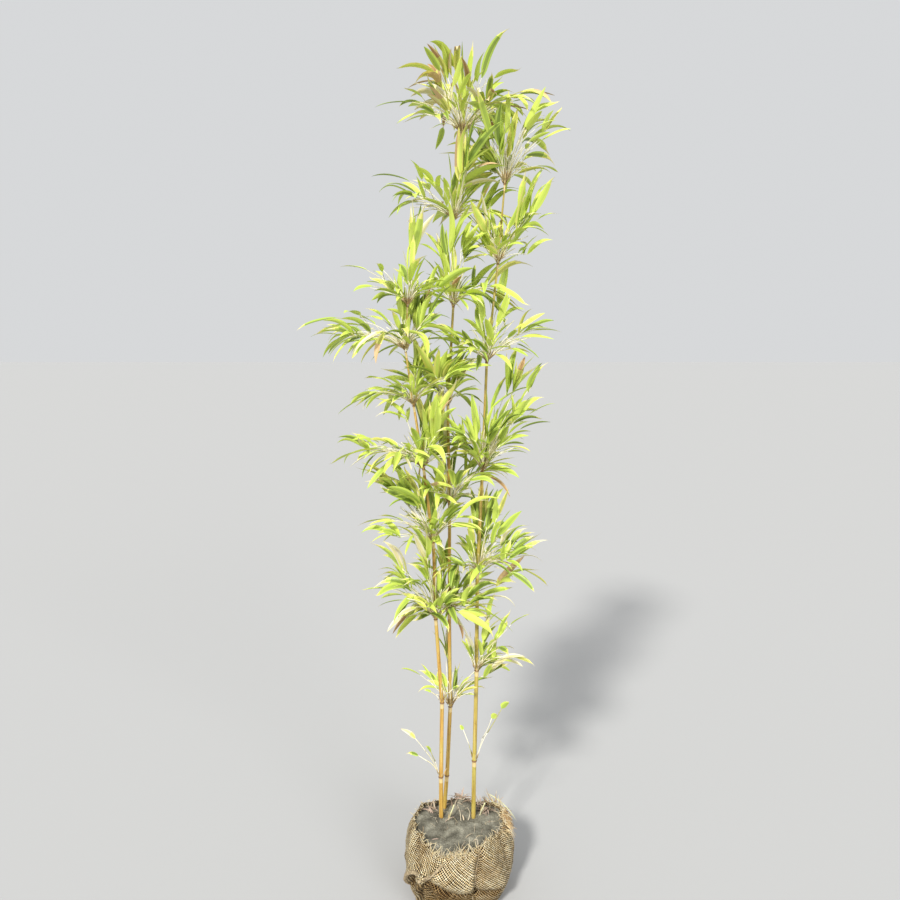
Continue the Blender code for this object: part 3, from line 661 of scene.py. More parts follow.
def culm_stations(culm, skin):
    """Centre, way, radius, internode number and material of each ring of a culm."""
    nodes = culm_nodes(culm)
    ways = [leaning(lean, culm.back_lean) for _, lean in culm.internodes]
    stations = []
    for number, node in enumerate(nodes[1:]):
        below = nodes[number] if number else nodes[0] - CULM_SINK * ways[0]
        foot = NODE_RINGS[-1][0] if number else 0.0
        run = (node - below).length + NODE_RINGS[0][0] - foot
        for step in range(INTERNODE_RINGS):
            centre = below + (foot + run * (step + 0.5) / INTERNODE_RINGS) * ways[number]
            stations.append((centre, ways[number], culm_radius(culm, centre), number, skin))
        above = ways[min(number + 1, len(ways) - 1)]
        for row, (shift, scale) in enumerate(NODE_RINGS):
            way = ways[number] if shift < 0 else above
            radius = scale * culm_radius(culm, node)
            look = CULM_BLOOM if row in BLOOM_BANDS else CULM_RING if row in SCAR_BANDS else skin
            stations.append((node + shift * way, way, radius, number, look))
    for share, scale in TIP_RINGS:
        centre = nodes[-1] + share * CULM_TIP * ways[-1]
        stations.append((centre, ways[-1], scale * culm.tip_radius, len(ways), skin))
    return stations


def add_culm(name, culm, rng):
    batch = Batch()
    stations = culm_stations(culm, CULM_SKINS[name])
    points = []
    looks = []
    for centre, way, radius, number, look in stations:
        axes = cross_axes(way)
        flat = pi * number + 0.4 * sin(2.0 * number)
        for turn in turns_of(CULM_SIDES):
            hollow = GROOVE_DEPTH * bump(angle_from(turn, flat), 0, GROOVE_SPREAD)
            reach = radius * (1 - hollow + rng.uniform(-SKIN_UNEVEN, SKIN_UNEVEN))
            points.append(centre + reach * about(turn, *axes))
        looks += [look] * CULM_SIDES
    looks[-CULM_SIDES:] = [CULM_SKINS[name]] * 2
    batch.add(points, tube_faces(len(stations), CULM_SIDES), looks)
    batch.piece("culm_skin_" + name, "culm", "culm_" + name)


# --- tufts: the source's rule ---------------------------------------------------------

def tuft_sites():
    sites = []
    for name, tufts in TUFTS.items():
        culm = CULMS[name]
        nodes = culm_nodes(culm)
        for tuft in tufts:
            node = nodes[tuft.node]
            last = len(culm.internodes) - 1
            axis = leaning(culm.internodes[min(tuft.node, last)][1], culm.back_lean)
            sideways = SPACE_SIDE * (tuft.right[0] - tuft.left[0])
            upwards = SPACE_LIFT * (tuft.top[1] + tuft.low)
            centre = node + Vector((sideways, culm.depth, upwards))
            reach = SPACE_SHARE * (tuft.left[0] + tuft.right[0] + tuft.top[1]) / 3
            sites.append(Site(name, tuft, node, axis, culm_radius(culm, node), centre, reach))
    return sites


def line_distance(point, start, end):
    run = end - start
    share = (point - start).dot(run) / run.length_squared
    return (point - start - min(max(share, 0.0), 1.0) * run).length


def limb_stretches():
    stretches = []
    for culm in CULMS.values():
        centres = culm_nodes(culm)
        way = leaning(culm.internodes[-1][1], culm.back_lean)
        centres.append(centres[-1] + CULM_TIP * way)
        for low, high in zip(centres, centres[1:]):
            stretches.append((low, high, culm_radius(culm, low)))
    return stretches


def collar_stretch(site):
    high = site.node + (RIDGE_HALF + COLLAR_HEIGHT) * site.axis
    return site.node, high, site.radius + COLLAR_WALL + 2 * GAP


def reach_at(tuft, azimuth):
    side = tuft.right[0] if cos(azimuth) > 0 else tuft.left[0]
    depth = max(DEPTH_SHARE * 0.5 * (tuft.left[0] + tuft.right[0]), min(LEAST_DEPTH, tuft.top[1]))
    return depth + (side - depth) * cos(azimuth) ** 2


def limit_offset(tuft, azimuth, rise):
    level = sqrt(1 - rise ** 2) * reach_at(tuft, azimuth)
    room = tuft.top[1] - TUFT_LIFT if rise > 0 else TUFT_LIFT - tuft.low
    return Vector((level * cos(azimuth), level * sin(azimuth), TUFT_LIFT + rise * room))


def leaf_targets(tuft, rng):
    yield Vector((-tuft.left[0], rng.uniform(-0.02, 0.02), tuft.left[1]))
    yield Vector((tuft.right[0], rng.uniform(-0.02, 0.02), tuft.right[1]))
    yield Vector((tuft.top[0], TOP_LEAF_DEPTH, tuft.top[1]))
    first = rng.uniform(0, 2 * pi)
    for number in range(TARGETS_PER_TWIG * tuft.twigs):
        rise = HIGHEST_RISE - (HIGHEST_RISE - LOWEST_RISE) * (number * GOLDEN_SHARE % 1)
        yield limit_offset(tuft, first + number * GOLDEN_ANGLE, rise)


def heading(azimuth, elevation):
    level = cos(elevation)
    return Vector((level * cos(azimuth), level * sin(azimuth), sin(elevation)))


def angles_of(way):
    return atan2(way.y, way.x), atan2(way.z, hypot(way.x, way.y))


def leaf_axes(root, tip, roll):
    """The leaf's side and its upper face's way, rolled about its run."""
    run = (tip - root).normalized()
    side = run.cross(Vector((0, 0, 1)))
    if side.length < 0.2:
        side = run.cross(Vector((1, 0, 0)))
    side.normalize()
    rolled = about(roll, side, side.cross(run))
    return rolled, rolled.cross(run)


def leaf_points(leaf):
    """Root, left edge, right edge, keel and tip of the source's plain leaf."""
    root, tip, roll, arch, width = leaf
    side, upper = leaf_axes(root, tip, roll)
    length = (tip - root).length
    rise = Vector((0, 0, arch * length))
    middle = root + LEAF_WIDEST * (tip - root) + rise
    keel = root + KEEL_PLACE * (tip - root) + KEEL_PLACE / LEAF_WIDEST * rise
    half = 0.5 * width * min(1.0, length / FULL_WIDTH_LENGTH)
    return [root, middle + half * side, middle - half * side, keel - LEAF_THICKNESS * upper, tip]


LEAF_FACES = ((0, 1, 2), (0, 2, 3), (0, 3, 1), (1, 4, 2), (2, 4, 3), (3, 4, 1))


def twig_shape(start, end):
    way = (end - start).normalized()
    points = ring(start, way, TWIG_ROOT, TWIG_SIDES) + ring(end, way, TWIG_END, TWIG_SIDES)
    return points, band(0, TWIG_SIDES, TWIG_SIDES) + [(0, 1, 2), (3, 4, 5)]


class GrowingTuft:
    """One tuft while it grows, clear of the culms and inside its own space."""

    def __init__(self, site, sites, limbs, seed):
        self.site = site
        self.tuft = site.tuft
        self.others = [other for other in sites if other is not site]
        stretches = limbs + [collar_stretch(other) for other in self.others]
        far = FAR_SHARE * max(site.tuft.left[0], site.tuft.right[0], site.tuft.top[1])
        self.limbs = [limb for limb in stretches if line_distance(site.node, *limb[:2]) < far]
        self.rng = random.Random(seed)
        self.trees = []
        self.twigs = []
        self.leaves = []

    def in_space(self, points):
        site = self.site
        for point in points:
            own = (point - site.centre).length_squared - site.reach ** 2
            for other in self.others:
                theirs = (point - other.centre).length_squared - other.reach ** 2
                if theirs - own < 2 * (other.centre - site.centre).length * SPACE_MARGIN:
                    return False
        return True

    def clear_of_limbs(self, start, end, half_width, skipped=0.0):
        run = end - start
        steps = max(2, int(run.length / SAMPLE_STEP))
        for step in range(steps + 1):
            share = step / steps
            point = start + share * run
            if share * run.length < skipped:
                continue
            for low, high, radius in self.limbs:
                if line_distance(point, low, high) < radius + half_width + LIMB_MARGIN:
                    return False
        return True

    def crosses(self, tree):
        return any(tree.overlap(other) for other in self.trees)

    def blade_clear(self, points, near, far):
        """Whether a leaf's halves, near and far, clear the limbs by these half widths."""
        root, left, right, _, tip = points
        middle = (left + right) / 2
        return self.clear_of_limbs(root, middle, near) and self.clear_of_limbs(middle, tip, far)

    def leaf_fits(self, leaf):
        points = leaf_points(leaf)
        half = 0.5 * (points[1] - points[2]).length
        if not self.in_space(points) or not self.blade_clear(points, 0.5 * half, 0.8 * half):
            return False
        return not self.crosses(BVHTree.FromPolygons(points, LEAF_FACES))

    def add_leaf(self, leaf):
        self.leaves.append(leaf)
        self.trees.append(BVHTree.FromPolygons(leaf_points(leaf), LEAF_FACES))

    def add_twig(self, start, end):
        self.twigs.append((start, end))
        self.trees.append(BVHTree.FromPolygons(*twig_shape(start, end)))

    def twig_root(self, azimuth):
        site = self.site
        spread = about(azimuth, *cross_axes(site.axis))
        middle = site.radius + GAP + 0.55 * COLLAR_WALL
        return site.node + (RIDGE_HALF + 0.6 * COLLAR_HEIGHT) * site.axis + middle * spread

    def twig_ends(self, offset):
        azimuth, elevation = angles_of(offset)
        lift = TWIG_LIFT * offset.length * cos(elevation)
        end = self.site.node + (1 - LEAF_SHARE) * offset + Vector((0, 0, lift))
        start = self.twig_root(azimuth)
        if (end - start).length < SHORTEST_TWIG or not self.in_space([end]):
            return None
        if not self.clear_of_limbs(start, end, TWIG_ROOT, COLLAR_HEIGHT):
            return None
        if self.crosses(BVHTree.FromPolygons(*twig_shape(start, end))):
            return None
        return start, end

    def side_leaf(self, root, turn, run):
        azimuth, elevation = angles_of(run)
        for number in range(LEAF_TRIES):
            slope = 0.7 * elevation + self.rng.uniform(-0.5, 0.6)
            way = heading(azimuth + turn * self.rng.uniform(0.3, 1.4), slope)
            reach = max(LEAF_SHORTEST, SHRINK ** number * run.length * self.rng.uniform(0.8, 1.0))
            leaf = Leaf(root, root + reach * way, self.roll(), LEAF_ARCH, LEAF_WIDTH)
            if self.leaf_fits(leaf):
                self.add_leaf(leaf)
                return

    def roll(self):
        return self.rng.uniform(-LEAF_ROLL, LEAF_ROLL)

    def grow_spray(self, target):
        for number in range(TWIG_TRIES):
            swing = SWING * number * alternate(number)
            offset = Matrix.Rotation(swing, 3, "Z") @ (SHRINK ** number * target)
            ends = self.twig_ends(offset)
            if ends is None:
                continue
            start, end = ends
            back = (start - end).normalized()
            tip = self.site.node + offset
            leaf = Leaf(end + LEAF_SINK * back, tip, self.roll(), LEAF_ARCH, LEAF_WIDTH)
            if not self.leaf_fits(leaf):
                continue
            self.add_leaf(leaf)
            room = int((end - start).length / LEAF_STEP)
            for place in range(1, min(self.tuft.leaves, room)):
                self.side_leaf(end + place * LEAF_STEP * back, alternate(place), tip - end)
            self.add_twig(start, end)
            return True
        return False

    def grow(self):
        twigs = 0
        for target in leaf_targets(self.tuft, self.rng):
            twigs += self.grow_spray(target)
            if twigs == self.tuft.twigs:
                return


# --- tufts: the finer growth -----------------------------------------------------------

class Crowd:
    """Every twig and leaf that stands, found by the cells that it passes through."""

    def __init__(self):
        self.trees = []
        self.cells = {}

    def cells_of(self, points):
        spans = []
        for axis in range(3):
            values = [point[axis] for point in points]
            low, high = int(min(values) // CROWD_CELL), int(max(values) // CROWD_CELL)
            spans.append(range(low, high + 1))
        return [(x, y, z) for x in spans[0] for y in spans[1] for z in spans[2]]

    def add(self, points, faces):
        for cell in self.cells_of(points):
            self.cells.setdefault(cell, []).append(len(self.trees))
        self.trees.append(BVHTree.FromPolygons(points, faces))

    def crosses(self, points, faces):
        near = set()
        for cell in self.cells_of(points):
            near.update(self.cells.get(cell, ()))
        tree = BVHTree.FromPolygons(points, faces)
        return any(tree.overlap(self.trees[number]) for number in near)


def outer_twig(start, end):
    """The stretch of a twig that has to stay clear of others."""
    return twig_shape(start + TWIG_CLEAR * (end - start), end)


def lean_of(site):
    """How far the finer growth leans to the right towards its top."""
    return FINE_LEANS.get((site.culm, site.tuft.node), FINE_LEAN * site.tuft.top[0])


def reaches(site, point):
    """Whether a point is inside the rounded reach of the tuft at a site, which leans
    towards the tuft's highest leaf."""
    offset = point - site.node
    rise = offset.z - TUFT_LIFT
    room = site.tuft.top[1] - TUFT_LIFT if rise > 0 else TUFT_LIFT - site.tuft.low + FINE_SINK
    offset.x -= max(0.0, rise / room) * lean_of(site)
    azimuth, _ = angles_of(offset)
    level = hypot(offset.x, offset.y) / (FINE_REACH * reach_at(site.tuft, azimuth))
    return hypot(level, rise / room) < 1


class FinerTuft:
    """The finer twigs and leaves of one tuft, within its reach and clear of all others."""

    def __init__(self, growth, crowd, seed):
        self.growth = growth
        self.site = growth.site
        self.tuft = growth.tuft
        self.key = (self.site.culm, self.tuft.node)
        self.sites = [self.site] + growth.others
        self.crowd = crowd
        self.rng = random.Random(seed)
        self.twigs = []
        self.leaves = []
        self.stems = []
        self.forks = []

    def within_reach(self, point):
        """Whether a point is inside the reach of this tuft, or of any other."""
        return any(reaches(site, point) for site in self.sites)

    def twig_fits(self, start, end):
        if (end - start).length < SHORTEST_TWIG:
            return False
        if not self.growth.clear_of_limbs(start, end, TWIG_END, COLLAR_HEIGHT):
            return False
        return not self.crowd.crosses(*outer_twig(start, end))

    def add_twig(self, start, end):
        self.twigs.append((start, end))
        self.crowd.add(*outer_twig(start, end))

    def try_leaf(self, root, azimuth, slope, length):
        roll = self.rng.uniform(-1, 1) * (FINE_ROLL + FINE_STEEP_ROLL * max(0.0, sin(slope)))
        tip = root + length * heading(azimuth, slope)
        leaf = Leaf(root, tip, roll, self.rng.uniform(*FINE_ARCH), BLADE_WIDTH)
        if not self.within_reach(leaf.tip):
            return False
        points = leaf_points(leaf)
        if not self.growth.blade_clear(points, 0.3 * BLADE_WIDTH, 0.5 * BLADE_WIDTH):
            return False
        if self.crowd.crosses(points, LEAF_FACES):
            return False
        self.keep(leaf)
        return True

    def refine(self):
        """Carry the source's sprays on: each long leaf becomes a twig with a leaf at its
        end, and keeps its tip.  The places for its side leaves are kept for later."""
        lone = self.tuft.leaves == 1
        for leaf in self.growth.leaves:
            run = leaf.tip - leaf.root
            if run.length < CLUSTER_LENGTH and not lone:
                self.keep(leaf._replace(width=BLADE_WIDTH))
                continue
            _, slope = angles_of(run)
            steep = slope > STEEP_SLOPE
            part = STEEP_FORK if steep else CLUSTER_FORK
            share = LONE_FORKS[self.key] if lone else self.rng.uniform(*part)
            rise = leaf.arch * run.length * min(1.0, share / LEAF_WIDEST)
            fork = leaf.root + share * run + Vector((0, 0, rise))
            self.stems.append((leaf.root, fork))
            self.crowd.add(*twig_shape(leaf.root + 0.2 * (fork - leaf.root), fork))
            width = LONE_WIDTHS[self.key] if lone else BLADE_WIDTH
            roll = FRONT_ROLL if lone or steep else leaf.roll
            self.keep(Leaf(fork, leaf.tip, roll, 0.6 * leaf.arch, width))
            if not lone:
                self.forks.append((fork, leaf.root, leaf.tip))

    def keep(self, leaf):
        self.leaves.append(leaf)
        self.crowd.add(leaf_points(leaf), LEAF_FACES)

    def grow_clusters(self):
        """The side leaves of each carried-on spray, close together below its end."""
        rng = self.rng
        for fork, root, tip in self.forks:
            azimuth, slope = angles_of(tip - fork)
            length = (tip - fork).length
            back = (root - fork).normalized()
            for place in range(rng.choice(CLUSTER_LEAVES)):
                start = fork + (place + 0.5) * CLUSTER_STEP * back
                for _ in range(FINE_LEAF_TRIES):
                    aside = azimuth + alternate(place) * rng.uniform(*CLUSTER_TURN)
                    reach = length * rng.uniform(*CLUSTER_REACH)
                    reach = min(max(reach, FINE_LEAF[0]), FINE_LEAF[1])
                    if self.try_leaf(start, aside, slope - rng.uniform(*CLUSTER_SINK), reach):
                        break

    def grow_spray(self, offset):
        """A twig that ends at an offset from the node, with leaves at and near its end."""
        rng = self.rng
        azimuth, elevation = angles_of(offset)
        end = self.site.node + offset
        start = self.growth.twig_root(azimuth + rng.uniform(-0.5, 0.5))
        start += rng.uniform(-0.4, 0.4) * COLLAR_HEIGHT * self.site.axis
        if not self.twig_fits(start, end):
            return
        slope = elevation - rng.uniform(*FINE_DROOP)
        facing = azimuth + rng.uniform(-FINE_TURN, FINE_TURN)
        length = rng.uniform(*FINE_LEAF)
        if not self.try_leaf(end, facing, slope, length):
            return
        back = (start - end).normalized()
        for place in range(1, 1 + rng.choice(FINE_SIDE_LEAVES)):
            root = end + place * FINE_STEP * back
            for _ in range(FINE_LEAF_TRIES):
                aside = facing + alternate(place) * rng.uniform(*FINE_ASIDE)
                tilted = slope + rng.uniform(-FINE_SLANT, FINE_SLANT)
                if self.try_leaf(root, aside, tilted, length * rng.uniform(*FINE_SIDE_REACH)):
                    break
        self.add_twig(start, end)

    def grow(self):
        rng = self.rng
        first = rng.uniform(0, 2 * pi)
        count = round(FINE_SHARE * self.tuft.twigs * SPARSE.get(self.key, 1.0))
        wanted = len(self.twigs) + count
        for number in range(FINE_AIMS * count):
            rise = FINE_HIGHEST - (FINE_HIGHEST - FINE_LOWEST) * (number * GOLDEN_SHARE % 1)
            offset = limit_offset(self.tuft, first + number * GOLDEN_ANGLE, rise)
            offset.xy *= 1 + FINE_SPREAD * rise
            offset.x += max(0.0, rise) * lean_of(self.site)
            offset = rng.uniform(FINE_NEAR, FINE_FAR) * offset
            self.grow_spray(offset + Vector((0, 0, FINE_LIFT)))
            if len(self.twigs) == wanted:
                break
        for number in range(round(BARE_SHARE * self.tuft.twigs)):
            for _ in range(BARE_TRIES):
                aim = rng.uniform(0, 2 * pi)
                offset = limit_offset(self.tuft, aim, rng.uniform(*BARE_RISE))
                azimuth, _ = angles_of(offset)
                start = self.growth.twig_root(azimuth)
                offset = rng.uniform(*BARE_REACH) * offset
                end = self.site.node + offset + Vector((0, 0, BARE_LIFT))
                if self.twig_fits(start, end):
                    self.add_twig(start, end)
                    break


# --- leaves, twigs and sheaths as meshes --------------------------------------------------

def blade_half(share):
    """Half width of a blade over its greatest, along the blade."""
    if share < BLADE_SHOULDER:
        return sin(pi / 2 * share / BLADE_SHOULDER) ** 0.8
    return 1 - ((share - BLADE_SHOULDER) / (1 - BLADE_SHOULDER)) ** 2.8


def add_blade(batch, leaf, width, colours, rng):
    """A pointed blade folded along its middle, arching from its root to its tip.
    Colours are (from share, middle material, edge material) along it, and a blade
    with several of them withers towards its point."""
    root, tip, roll, arch, _ = leaf
    run = tip - root
    length = run.length
    way = run.normalized()
    side, upper = leaf_axes(root, tip, roll)
    up = Vector((0, 0, 1)) - way * way.z
    bow = rng.uniform(-BLADE_BOW, BLADE_BOW) * length
    arch_rise = arch * rng.uniform(*BLADE_ARCHING) * length
    late = rng.uniform(-0.2, 0.7)
    twist = rng.uniform(-BLADE_CURL, BLADE_CURL)
    half_width = 0.5 * width * min(1.0, (length / BLADE_FULL_LENGTH) ** 0.7)
    withered = colours[1][0] if len(colours) > 2 else 1.0
    hook = WITHERED_HOOK * length * (rng.uniform(-1, 1) * side + rng.uniform(-0.3, 1) * up)
    points = []
    for share in BLADE_ROWS + (1.0,):
        lift = 4 * share * (1 - share) * (1 + late * (2 * share - 1))
        centre = root + share * run + arch_rise * lift * up + bow * sin(pi * share) * side
        half = half_width * blade_half(share)
        if share > withered:
            dried = (share - withered) / (1 - withered)
            centre += dried ** 2 * hook
            half *= 1 - WITHERED_NARROW * dried ** 0.5
        if share == 1.0:
            points.append(centre)
            break
        half = max(STALK_HALF, half)
        turned = Matrix.Rotation(twist * share, 3, way)
        across = turned @ side
        rise = BLADE_FOLD * half * (turned @ upper)
        for place, height in BLADE_COLUMNS:
            points.append(centre + place * half * across + height * rise)
    columns = len(BLADE_COLUMNS)
    faces = grid_faces(len(BLADE_ROWS), columns)
    looks = []
    for share in BLADE_ROWS[1:]:
        middle, edge = colour_at(colours, share)
        looks += [edge, middle, middle, edge]
    last = len(points) - 1
    faces += [(low, low + 1, last) for low in range(last - columns, last - 1)]
    looks += [colours[-1][1]] * (columns - 1)
    batch.add(points, faces, looks)


def colour_at(colours, share):
    found = colours[0][1:]
    for start, middle, edge in colours:
        if share >= start:
            found = (middle, edge)
    return found


def whole(look):
    return [(0.0, look, look)]


def leaf_colours(rng, dry, pale, shares):
    """Colours along one leaf: its body, and perhaps a faded or bleached point."""
    if rng.random() < dry:
        body = rng.choice((LEAF_TAN, LEAF_YELLOW, LEAF_BROWN, LEAF_STRAW))
        return [(0.0, LEAF_OLIVE, LEAF_YELLOW), (rng.uniform(0.2, 0.7), body, LEAF_TAN)]
    if rng.random() < 0.3 * pale:
        return [(0.0, LEAF_LIME, LEAF_STRAW), (rng.uniform(0.15, 0.5), LEAF_STRAW, LEAF_PALE)]
    middle, edge = rng.choices(LEAF_BODIES, shares)[0]
    colours = [(0.0, middle, edge)]
    if rng.random() < FADING + pale:
        start = rng.uniform(*FADE_START)
        colours.append((start, edge, LEAF_YELLOW))
        colours.append((start + FADE_STEPS[0], LEAF_YELLOW, LEAF_STRAW))
        colours.append((start + FADE_STEPS[1], LEAF_STRAW, LEAF_PALE))
    return colours


def add_twig(batch, start, end, axis, radii_at_ends, rng):
    """A thin twig that leaves its node steeply and then leans out to its end."""
    run = end - start
    bend = TWIG_BEND * run.length * (axis - run.normalized() * axis.dot(run.normalized()))
    bend += TWIG_WANDER * run.length * Vector([rng.uniform(-1, 1) for _ in range(3)])
    path = []
    radii = []
    for row in range(TWIG_ROWS + 1):
        share = row / TWIG_ROWS
        path.append(start + share * run + 4 * share * (1 - share) * bend)
        radii.append(radii_at_ends[0] + (radii_at_ends[1] - radii_at_ends[0]) * share)
    points, faces = strand(path, radii, 4)
    body = rng.choices((TWIG_PALE, TWIG_STRAW, TWIG_OLIVE), TWIG_SHARES)[0]
    foot = SHEATH_TAN if radii_at_ends is TWIG_RADII else body
    looks = [foot] * 4 + [body] * (len(faces) - 4)
    batch.add(points, faces, looks)


def add_sheaths(batch, site, rng):
    """Dry pointed strips that stand round a leafy node."""
    for number in range(SHEATHS if site.tuft.leaves > 1 else FEW_SHEATHS):
        azimuth = number * GOLDEN_ANGLE + rng.uniform(-0.3, 0.3)
        out = heading(azimuth, 0)
        low = rng.uniform(-0.001, 0.008)
        root = site.node + low * site.axis + (site.radius + 0.0006) * out
        length = rng.uniform(*SHEATH_LENGTH)
        tip = root + length * (site.axis + rng.uniform(0.15, 0.7) * out).normalized()
        leaf = Leaf(root, tip, rng.uniform(-0.3, 0.3), 0.05, 0)
        look = rng.choice((SHEATH_BROWN, SHEATH_TAN, SHEATH_BROWN, TWIG_PALE))
        add_blade(batch, leaf, SHEATH_WIDTH, whole(look), rng)


# How common withered leaves are.
DRY_LEAVES = {("middle", 8): 0.20, ("middle", 7): 0.07, ("right", 7): 0.06}
SOUND_LEAVES = 8                   # the first leaves of a tuft, with its furthest reaches
# How common faded points are.
PALE_TIPS = {("left", 1): 1.0, ("left", 2): 0.9, ("left", 3): 0.45, ("left", 4): 0.3,
             ("middle", 2): 0.7, ("middle", 3): 0.3, ("middle", 4): 0.2,
             ("right", 1): 0.8, ("right", 2): 0.85, ("right", 3): 0.2}


def grow_tufts():
    """Every tuft: the source's sprays carried on to clusters, and then finer sprays."""
    sites = tuft_sites()
    limbs = limb_stretches()
    crowd = Crowd()
    tufts = []
    for number, site in enumerate(sites):
        growth = GrowingTuft(site, sites, limbs, TUFT_SEED + number)
        growth.grow()
        finer = FinerTuft(growth, crowd, FINE_SEED + number)
        for start, end in growth.twigs:
            finer.add_twig(start, end)
        finer.refine()
        tufts.append(finer)
    for tuft in tufts:
        tuft.grow_clusters()
    for tuft in tufts:
        if tuft.tuft.leaves > 1:
            tuft.grow()
    return tufts


def add_foliage():
    leaves = {name: Batch() for name in CULMS}
    twigs = {name: Batch() for name in CULMS}
    tufts = grow_tufts()
    for number, tuft in enumerate(tufts):
        site = tuft.site
        rng = random.Random(COLOUR_SEED + number)
        key = (site.culm, site.tuft.node)
        for place, leaf in enumerate(tuft.leaves):
            dry = DRY_LEAVES.get(key, 0.01) if place >= SOUND_LEAVES else 0.0
            shares = LOW_BODY_SHARES if key[1] <= LOW_TUFTS else LEAF_BODY_SHARES
            colours = leaf_colours(rng, dry, PALE_TIPS.get(key, 0.10), shares)
            width = rng.uniform(0.82, 1.15) * leaf.width
            add_blade(leaves[site.culm], leaf, width, colours, rng)
        for start, end in tuft.twigs:
            add_twig(twigs[site.culm], start, end, site.axis, TWIG_RADII, rng)
        stem_radii = STEM_RADII if site.tuft.leaves > 1 else LONE_RADII
        for start, end in tuft.stems:
            add_twig(twigs[site.culm], start, end, (end - start).normalized(), stem_radii, rng)
        add_sheaths(twigs[site.culm], site, rng)
    for name in CULMS:
        nodes = [f"tuft_{name}_{tuft.node}" for tuft in TUFTS[name]]
        leaves[name].piece("leaves_" + name, "foliage", *nodes)
        twigs[name].piece("twigs_" + name, "foliage", *nodes)


# --- root ball ------------------------------------------------------------------------------

WRAP_SIDES = 300
WRAP_ROWS = 96
WRAP_START = radians(-270)         # where the cloth's edges meet, at the back
BURLAP_THICKNESS = 0.0035
INNER_ROWS = (1.0, 0.93, 0.80, 0.66)
YARN_PITCH = 0.0049
WRAP_RISE = 0.25                   # length of the cloth from the foot to the rim
SLANT = radians(38)                # the weave is turned on the front and right
SLANT_LEVELS = (0.0, 0.69, 1.0)    # where that cloth starts, in degrees, at these levels
SLANT_EDGE = (-119, -125, -106)
SLANT_END = 62
UNDERSIDE_RINGS = (0.0, 0.5, 0.9)
# A crease this deep, or deeper, gets the full painted shade.
DEEP_CREASE = 0.010
# Painted shade on the cloth, under the pillow, on the front pillow and in other patches: angle in
# degrees, level, spread, height, share.
PAINTED_SHADE_PATCHES = (
    (-112, 0.36, 0.24, 0.20, 0.60), (-133, 0.40, 0.20, 0.22, 0.50), (-58, 0.16, 0.6, 0.17, 0.95),
    (-94, 0.64, 0.30, 0.26, 0.36), (-142, 0.93, 0.16, 0.10, 0.35), (60, 0.25, 0.9, 0.20, 0.4),
    (165, 0.3, 0.5, 0.2, 0.35))
FOOT_SHADE = (0.30, 0.20)           # painted shade at the foot, and how far up it reaches
CRUMPLES = ((0.0030, 4.5), (0.0011, 16))        # height and fineness of each
RIM_FRAYS = ((0.0022, 22), (0.0016, 60))
FRAY_START = 0.8                   # level above which the rim is uneven

# Folds of the cloth, as lines over the ball: each point is an angle in degrees and
# a level.  A fold with a negative rise is a crease.
Fold = namedtuple("Fold", "rise width line")
FRONT_FOLDS = (
    Fold(-0.0065, 0.006, ((-62, 1.0), (-65, 0.93), (-69, 0.75), (-73, 0.50), (-72, 0.25))),
    Fold(-0.0150, 0.007, ((-119, 0.66), (-108, 0.62), (-99, 0.55), (-90, 0.49), (-80, 0.45),
                          (-72, 0.42))),
    Fold(-0.0090, 0.016, ((-116, 0.50), (-106, 0.46), (-97, 0.40), (-88, 0.36), (-78, 0.34))),
    Fold(0.0135, 0.018, ((-114, 0.80), (-103, 0.76), (-94, 0.69), (-84, 0.62), (-78, 0.60))),
    Fold(0.0100, 0.008, ((-153, 0.34), (-151, 0.48), (-144, 0.62), (-135, 0.70), (-127, 0.70))),
    Fold(-0.0110, 0.008, ((-147, 0.34), (-142, 0.47), (-135, 0.57), (-129, 0.62))),
    Fold(0.0090, 0.006, ((-127, 0.66), (-131, 0.50), (-136, 0.34), (-138, 0.16))),
    Fold(-0.0090, 0.005, ((-125, 0.64), (-127, 0.48), (-130, 0.32), (-131, 0.15))),
    Fold(0.0090, 0.006, ((-123, 0.66), (-122, 0.50), (-122, 0.34), (-124, 0.18))),
    Fold(-0.0080, 0.005, ((-121, 0.64), (-117, 0.50), (-115, 0.36), (-115, 0.20))),
    Fold(0.0080, 0.007, ((-120, 0.66), (-113, 0.52), (-108, 0.38), (-106, 0.22))),
    Fold(-0.0070, 0.006, ((-117, 0.60), (-106, 0.45), (-100, 0.30))),
    Fold(0.0060, 0.010, ((-112, 0.55), (-98, 0.38), (-92, 0.22))),
    Fold(0.0105, 0.021, ((-58, 0.90), (-47, 0.74), (-40, 0.56), (-38, 0.38))),
    Fold(-0.0100, 0.007, ((-72, 0.44), (-58, 0.37), (-46, 0.31), (-34, 0.33))),
    Fold(-0.0060, 0.008, ((-150, 0.97), (-143, 0.82), (-134, 0.75))),
    Fold(0.0050, 0.012, ((-162, 0.98), (-156, 0.80), (-152, 0.60))),
    Fold(0.0050, 0.010, ((-141, 0.98), (-136, 0.86), (-130, 0.78))),
)
SIDE_FOLD_COUNT = 15               # folds dealt over the rest of the ball
SIDE_FOLD_SEED = 21
SIDE_FOLD_RISE = (0.0030, 0.0060)
SIDE_FOLD_WIDTH = (0.007, 0.013)
FRONT_ZONE = (-165, -30)           # degrees of the ball that FRONT_FOLDS take up

KNOT_PLACE = (radians(-126), 0.69)
KNOT_RADIUS = 0.0115
KNOT_SQUASH = 0.75
KNOT_SIDES = 40
KNOT_ROWS = 16
KNOT_PLEATS = 9
# How far the knot's cloth is darkened, through the same map as the painted shade.
KNOT_DARKENING = 0.25
